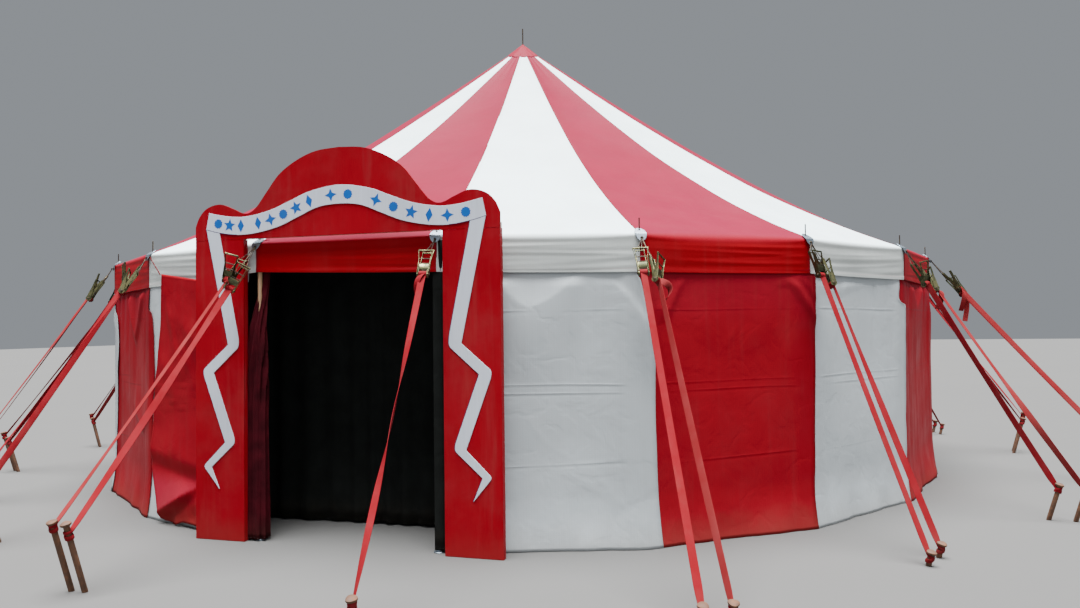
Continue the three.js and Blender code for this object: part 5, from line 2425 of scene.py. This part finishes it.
    def door_sheet(self) -> None:
        """The door bay's own sheet, hung over the wall to its left and crumpled below the knee."""
        p = self.plan
        rows, cols = 104, 72
        t = np.linspace(0, 1, rows)[:, None]
        u = np.linspace(0, 1, cols)[None, :]
        level = self.sheet_top * (1 - t) + 0.006 * t
        edge = np.array(self.sheet_edge)
        left = np.interp(level, edge[::-1, 0], edge[::-1, 1]) + 0.003 * drift(level, 0 * level, 0.1, 2)
        x = left + (0.225 - left) * u
        ragged = 0.02 * (1 + drift(x, 0 * x, 0.12, 9)) * ease(t, 0.93, 1.0)
        z = level - 0.13 * (x + 0.455) * (1 - t) ** 3 + ragged
        points = beside_door(x, self.door_relief(x, z), z)
        uv = np.stack([x, 2.1 - level + 0 * x], -1)
        piece = Sewn([Patch(points, turned=True, uv=uv)]).mesh("door_sheet")
        # Painted light: the lit facet between the ridge and the tuck takes the paler rose tone.
        mark(piece, "fade", 0.8 * ease(z, 0.47, 0.3) * (z > 0.105 + 0.49 * (x + 0.427)))
        mark(piece, "seam", 0.5 * bump((x - left) - 0.02, 0.004) + 0.5 * bump(t - 0.012, 0.004))
        thicken(piece, self.sheet_thick)
        finish_piece(piece, [self.looks.red_wall], ["pulled_aside_sheet"])

    def build(self) -> None:
        """Makes the three."""
        self.lobby()
        self.velvet()
        self.door_sheet()


# Studio


@dataclass
class Studio:
    """A pale floor, soft light and the camera of the photograph's view."""

    looks: Finishes
    place: Vec = (2.991, -9.908, 1.607)
    right: Vec = (0.9621, 0.2723, -0.0123)
    up: Vec = (0.0187, -0.0209, 0.9996)
    sensor: float = 36.0
    lens: float = 36 * 800 / 1080

    def floor(self) -> None:
        """A broad level floor just under the ground line."""
        side = np.linspace(-60, 60, 9)
        x, y = np.meshgrid(side, side)
        points = np.stack([x, y, np.full_like(x, -0.0005)], -1)
        piece = Sewn([Patch(points)]).mesh("floor")
        piece.data.materials.append(self.looks.floor)

    def light(self) -> None:
        """An even pale sky with a wide soft light overhead and a faint one from the front right."""
        world = bpy.data.worlds.new("studio_air")
        bpy.context.scene.world = world
        world.use_nodes = True
        back = world.node_tree.nodes["Background"]
        back.inputs["Color"].default_value = (0.86, 0.92, 1.0, 1.0)
        back.inputs["Strength"].default_value = 0.32
        for name, strength, at, aim, spread in (
            ("sky", 20.0, (0.0, -0.5, 6.0), (0.0, 0.0, 0.0), 44.0),
            ("front", 0.8, (4.0, -7.0, 4.5), (0.0, 0.0, 0.0), 70.0),
        ):
            lamp = bpy.data.lights.new(name, "SUN")
            lamp.energy, lamp.angle, lamp.color = strength, math.radians(spread), (1.0, 0.995, 0.985)
            holder = bpy.data.objects.new(name, lamp)
            z = unit(np.array(at) - np.array(aim))
            x = unit(np.cross((0.0, 1.0, 0.0), z))
            y = np.cross(z, x)
            holder.matrix_world = Matrix([*([x[i], y[i], z[i], at[i]] for i in range(3)), [0, 0, 0, 1]])
            bpy.context.scene.collection.objects.link(holder)

    def camera(self) -> None:
        """The camera: its axes and place as columns, with no shift and no blur."""
        data = bpy.data.cameras.new("view")
        data.sensor_width = self.sensor
        data.lens = self.lens
        data.clip_end = 300
        eye = bpy.data.objects.new("view", data)
        x = unit(np.array(self.right))
        y = unit(np.array(self.up) - np.dot(self.up, x) * x)
        z = np.cross(x, y)
        eye.matrix_world = Matrix([*([x[i], y[i], z[i], self.place[i]] for i in range(3)), [0, 0, 0, 1]])
        bpy.context.scene.collection.objects.link(eye)
        bpy.context.scene.camera = eye

    def build(self) -> None:
        """Sets the stage."""
        self.floor()
        self.light()
        self.camera()


def main() -> None:
    """Builds the tent in the order of its raising, then the studio round it."""
    logging.basicConfig(level=logging.INFO, format="%(name)s %(message)s")
    looks = Finishes()
    for part in (Poles, Canopy, Walls, GuySets, EntranceFront, Drapes, Studio):
        LOG.info("%s", part.__name__)
        part(looks).build()


if __name__ == "__main__":
    main()
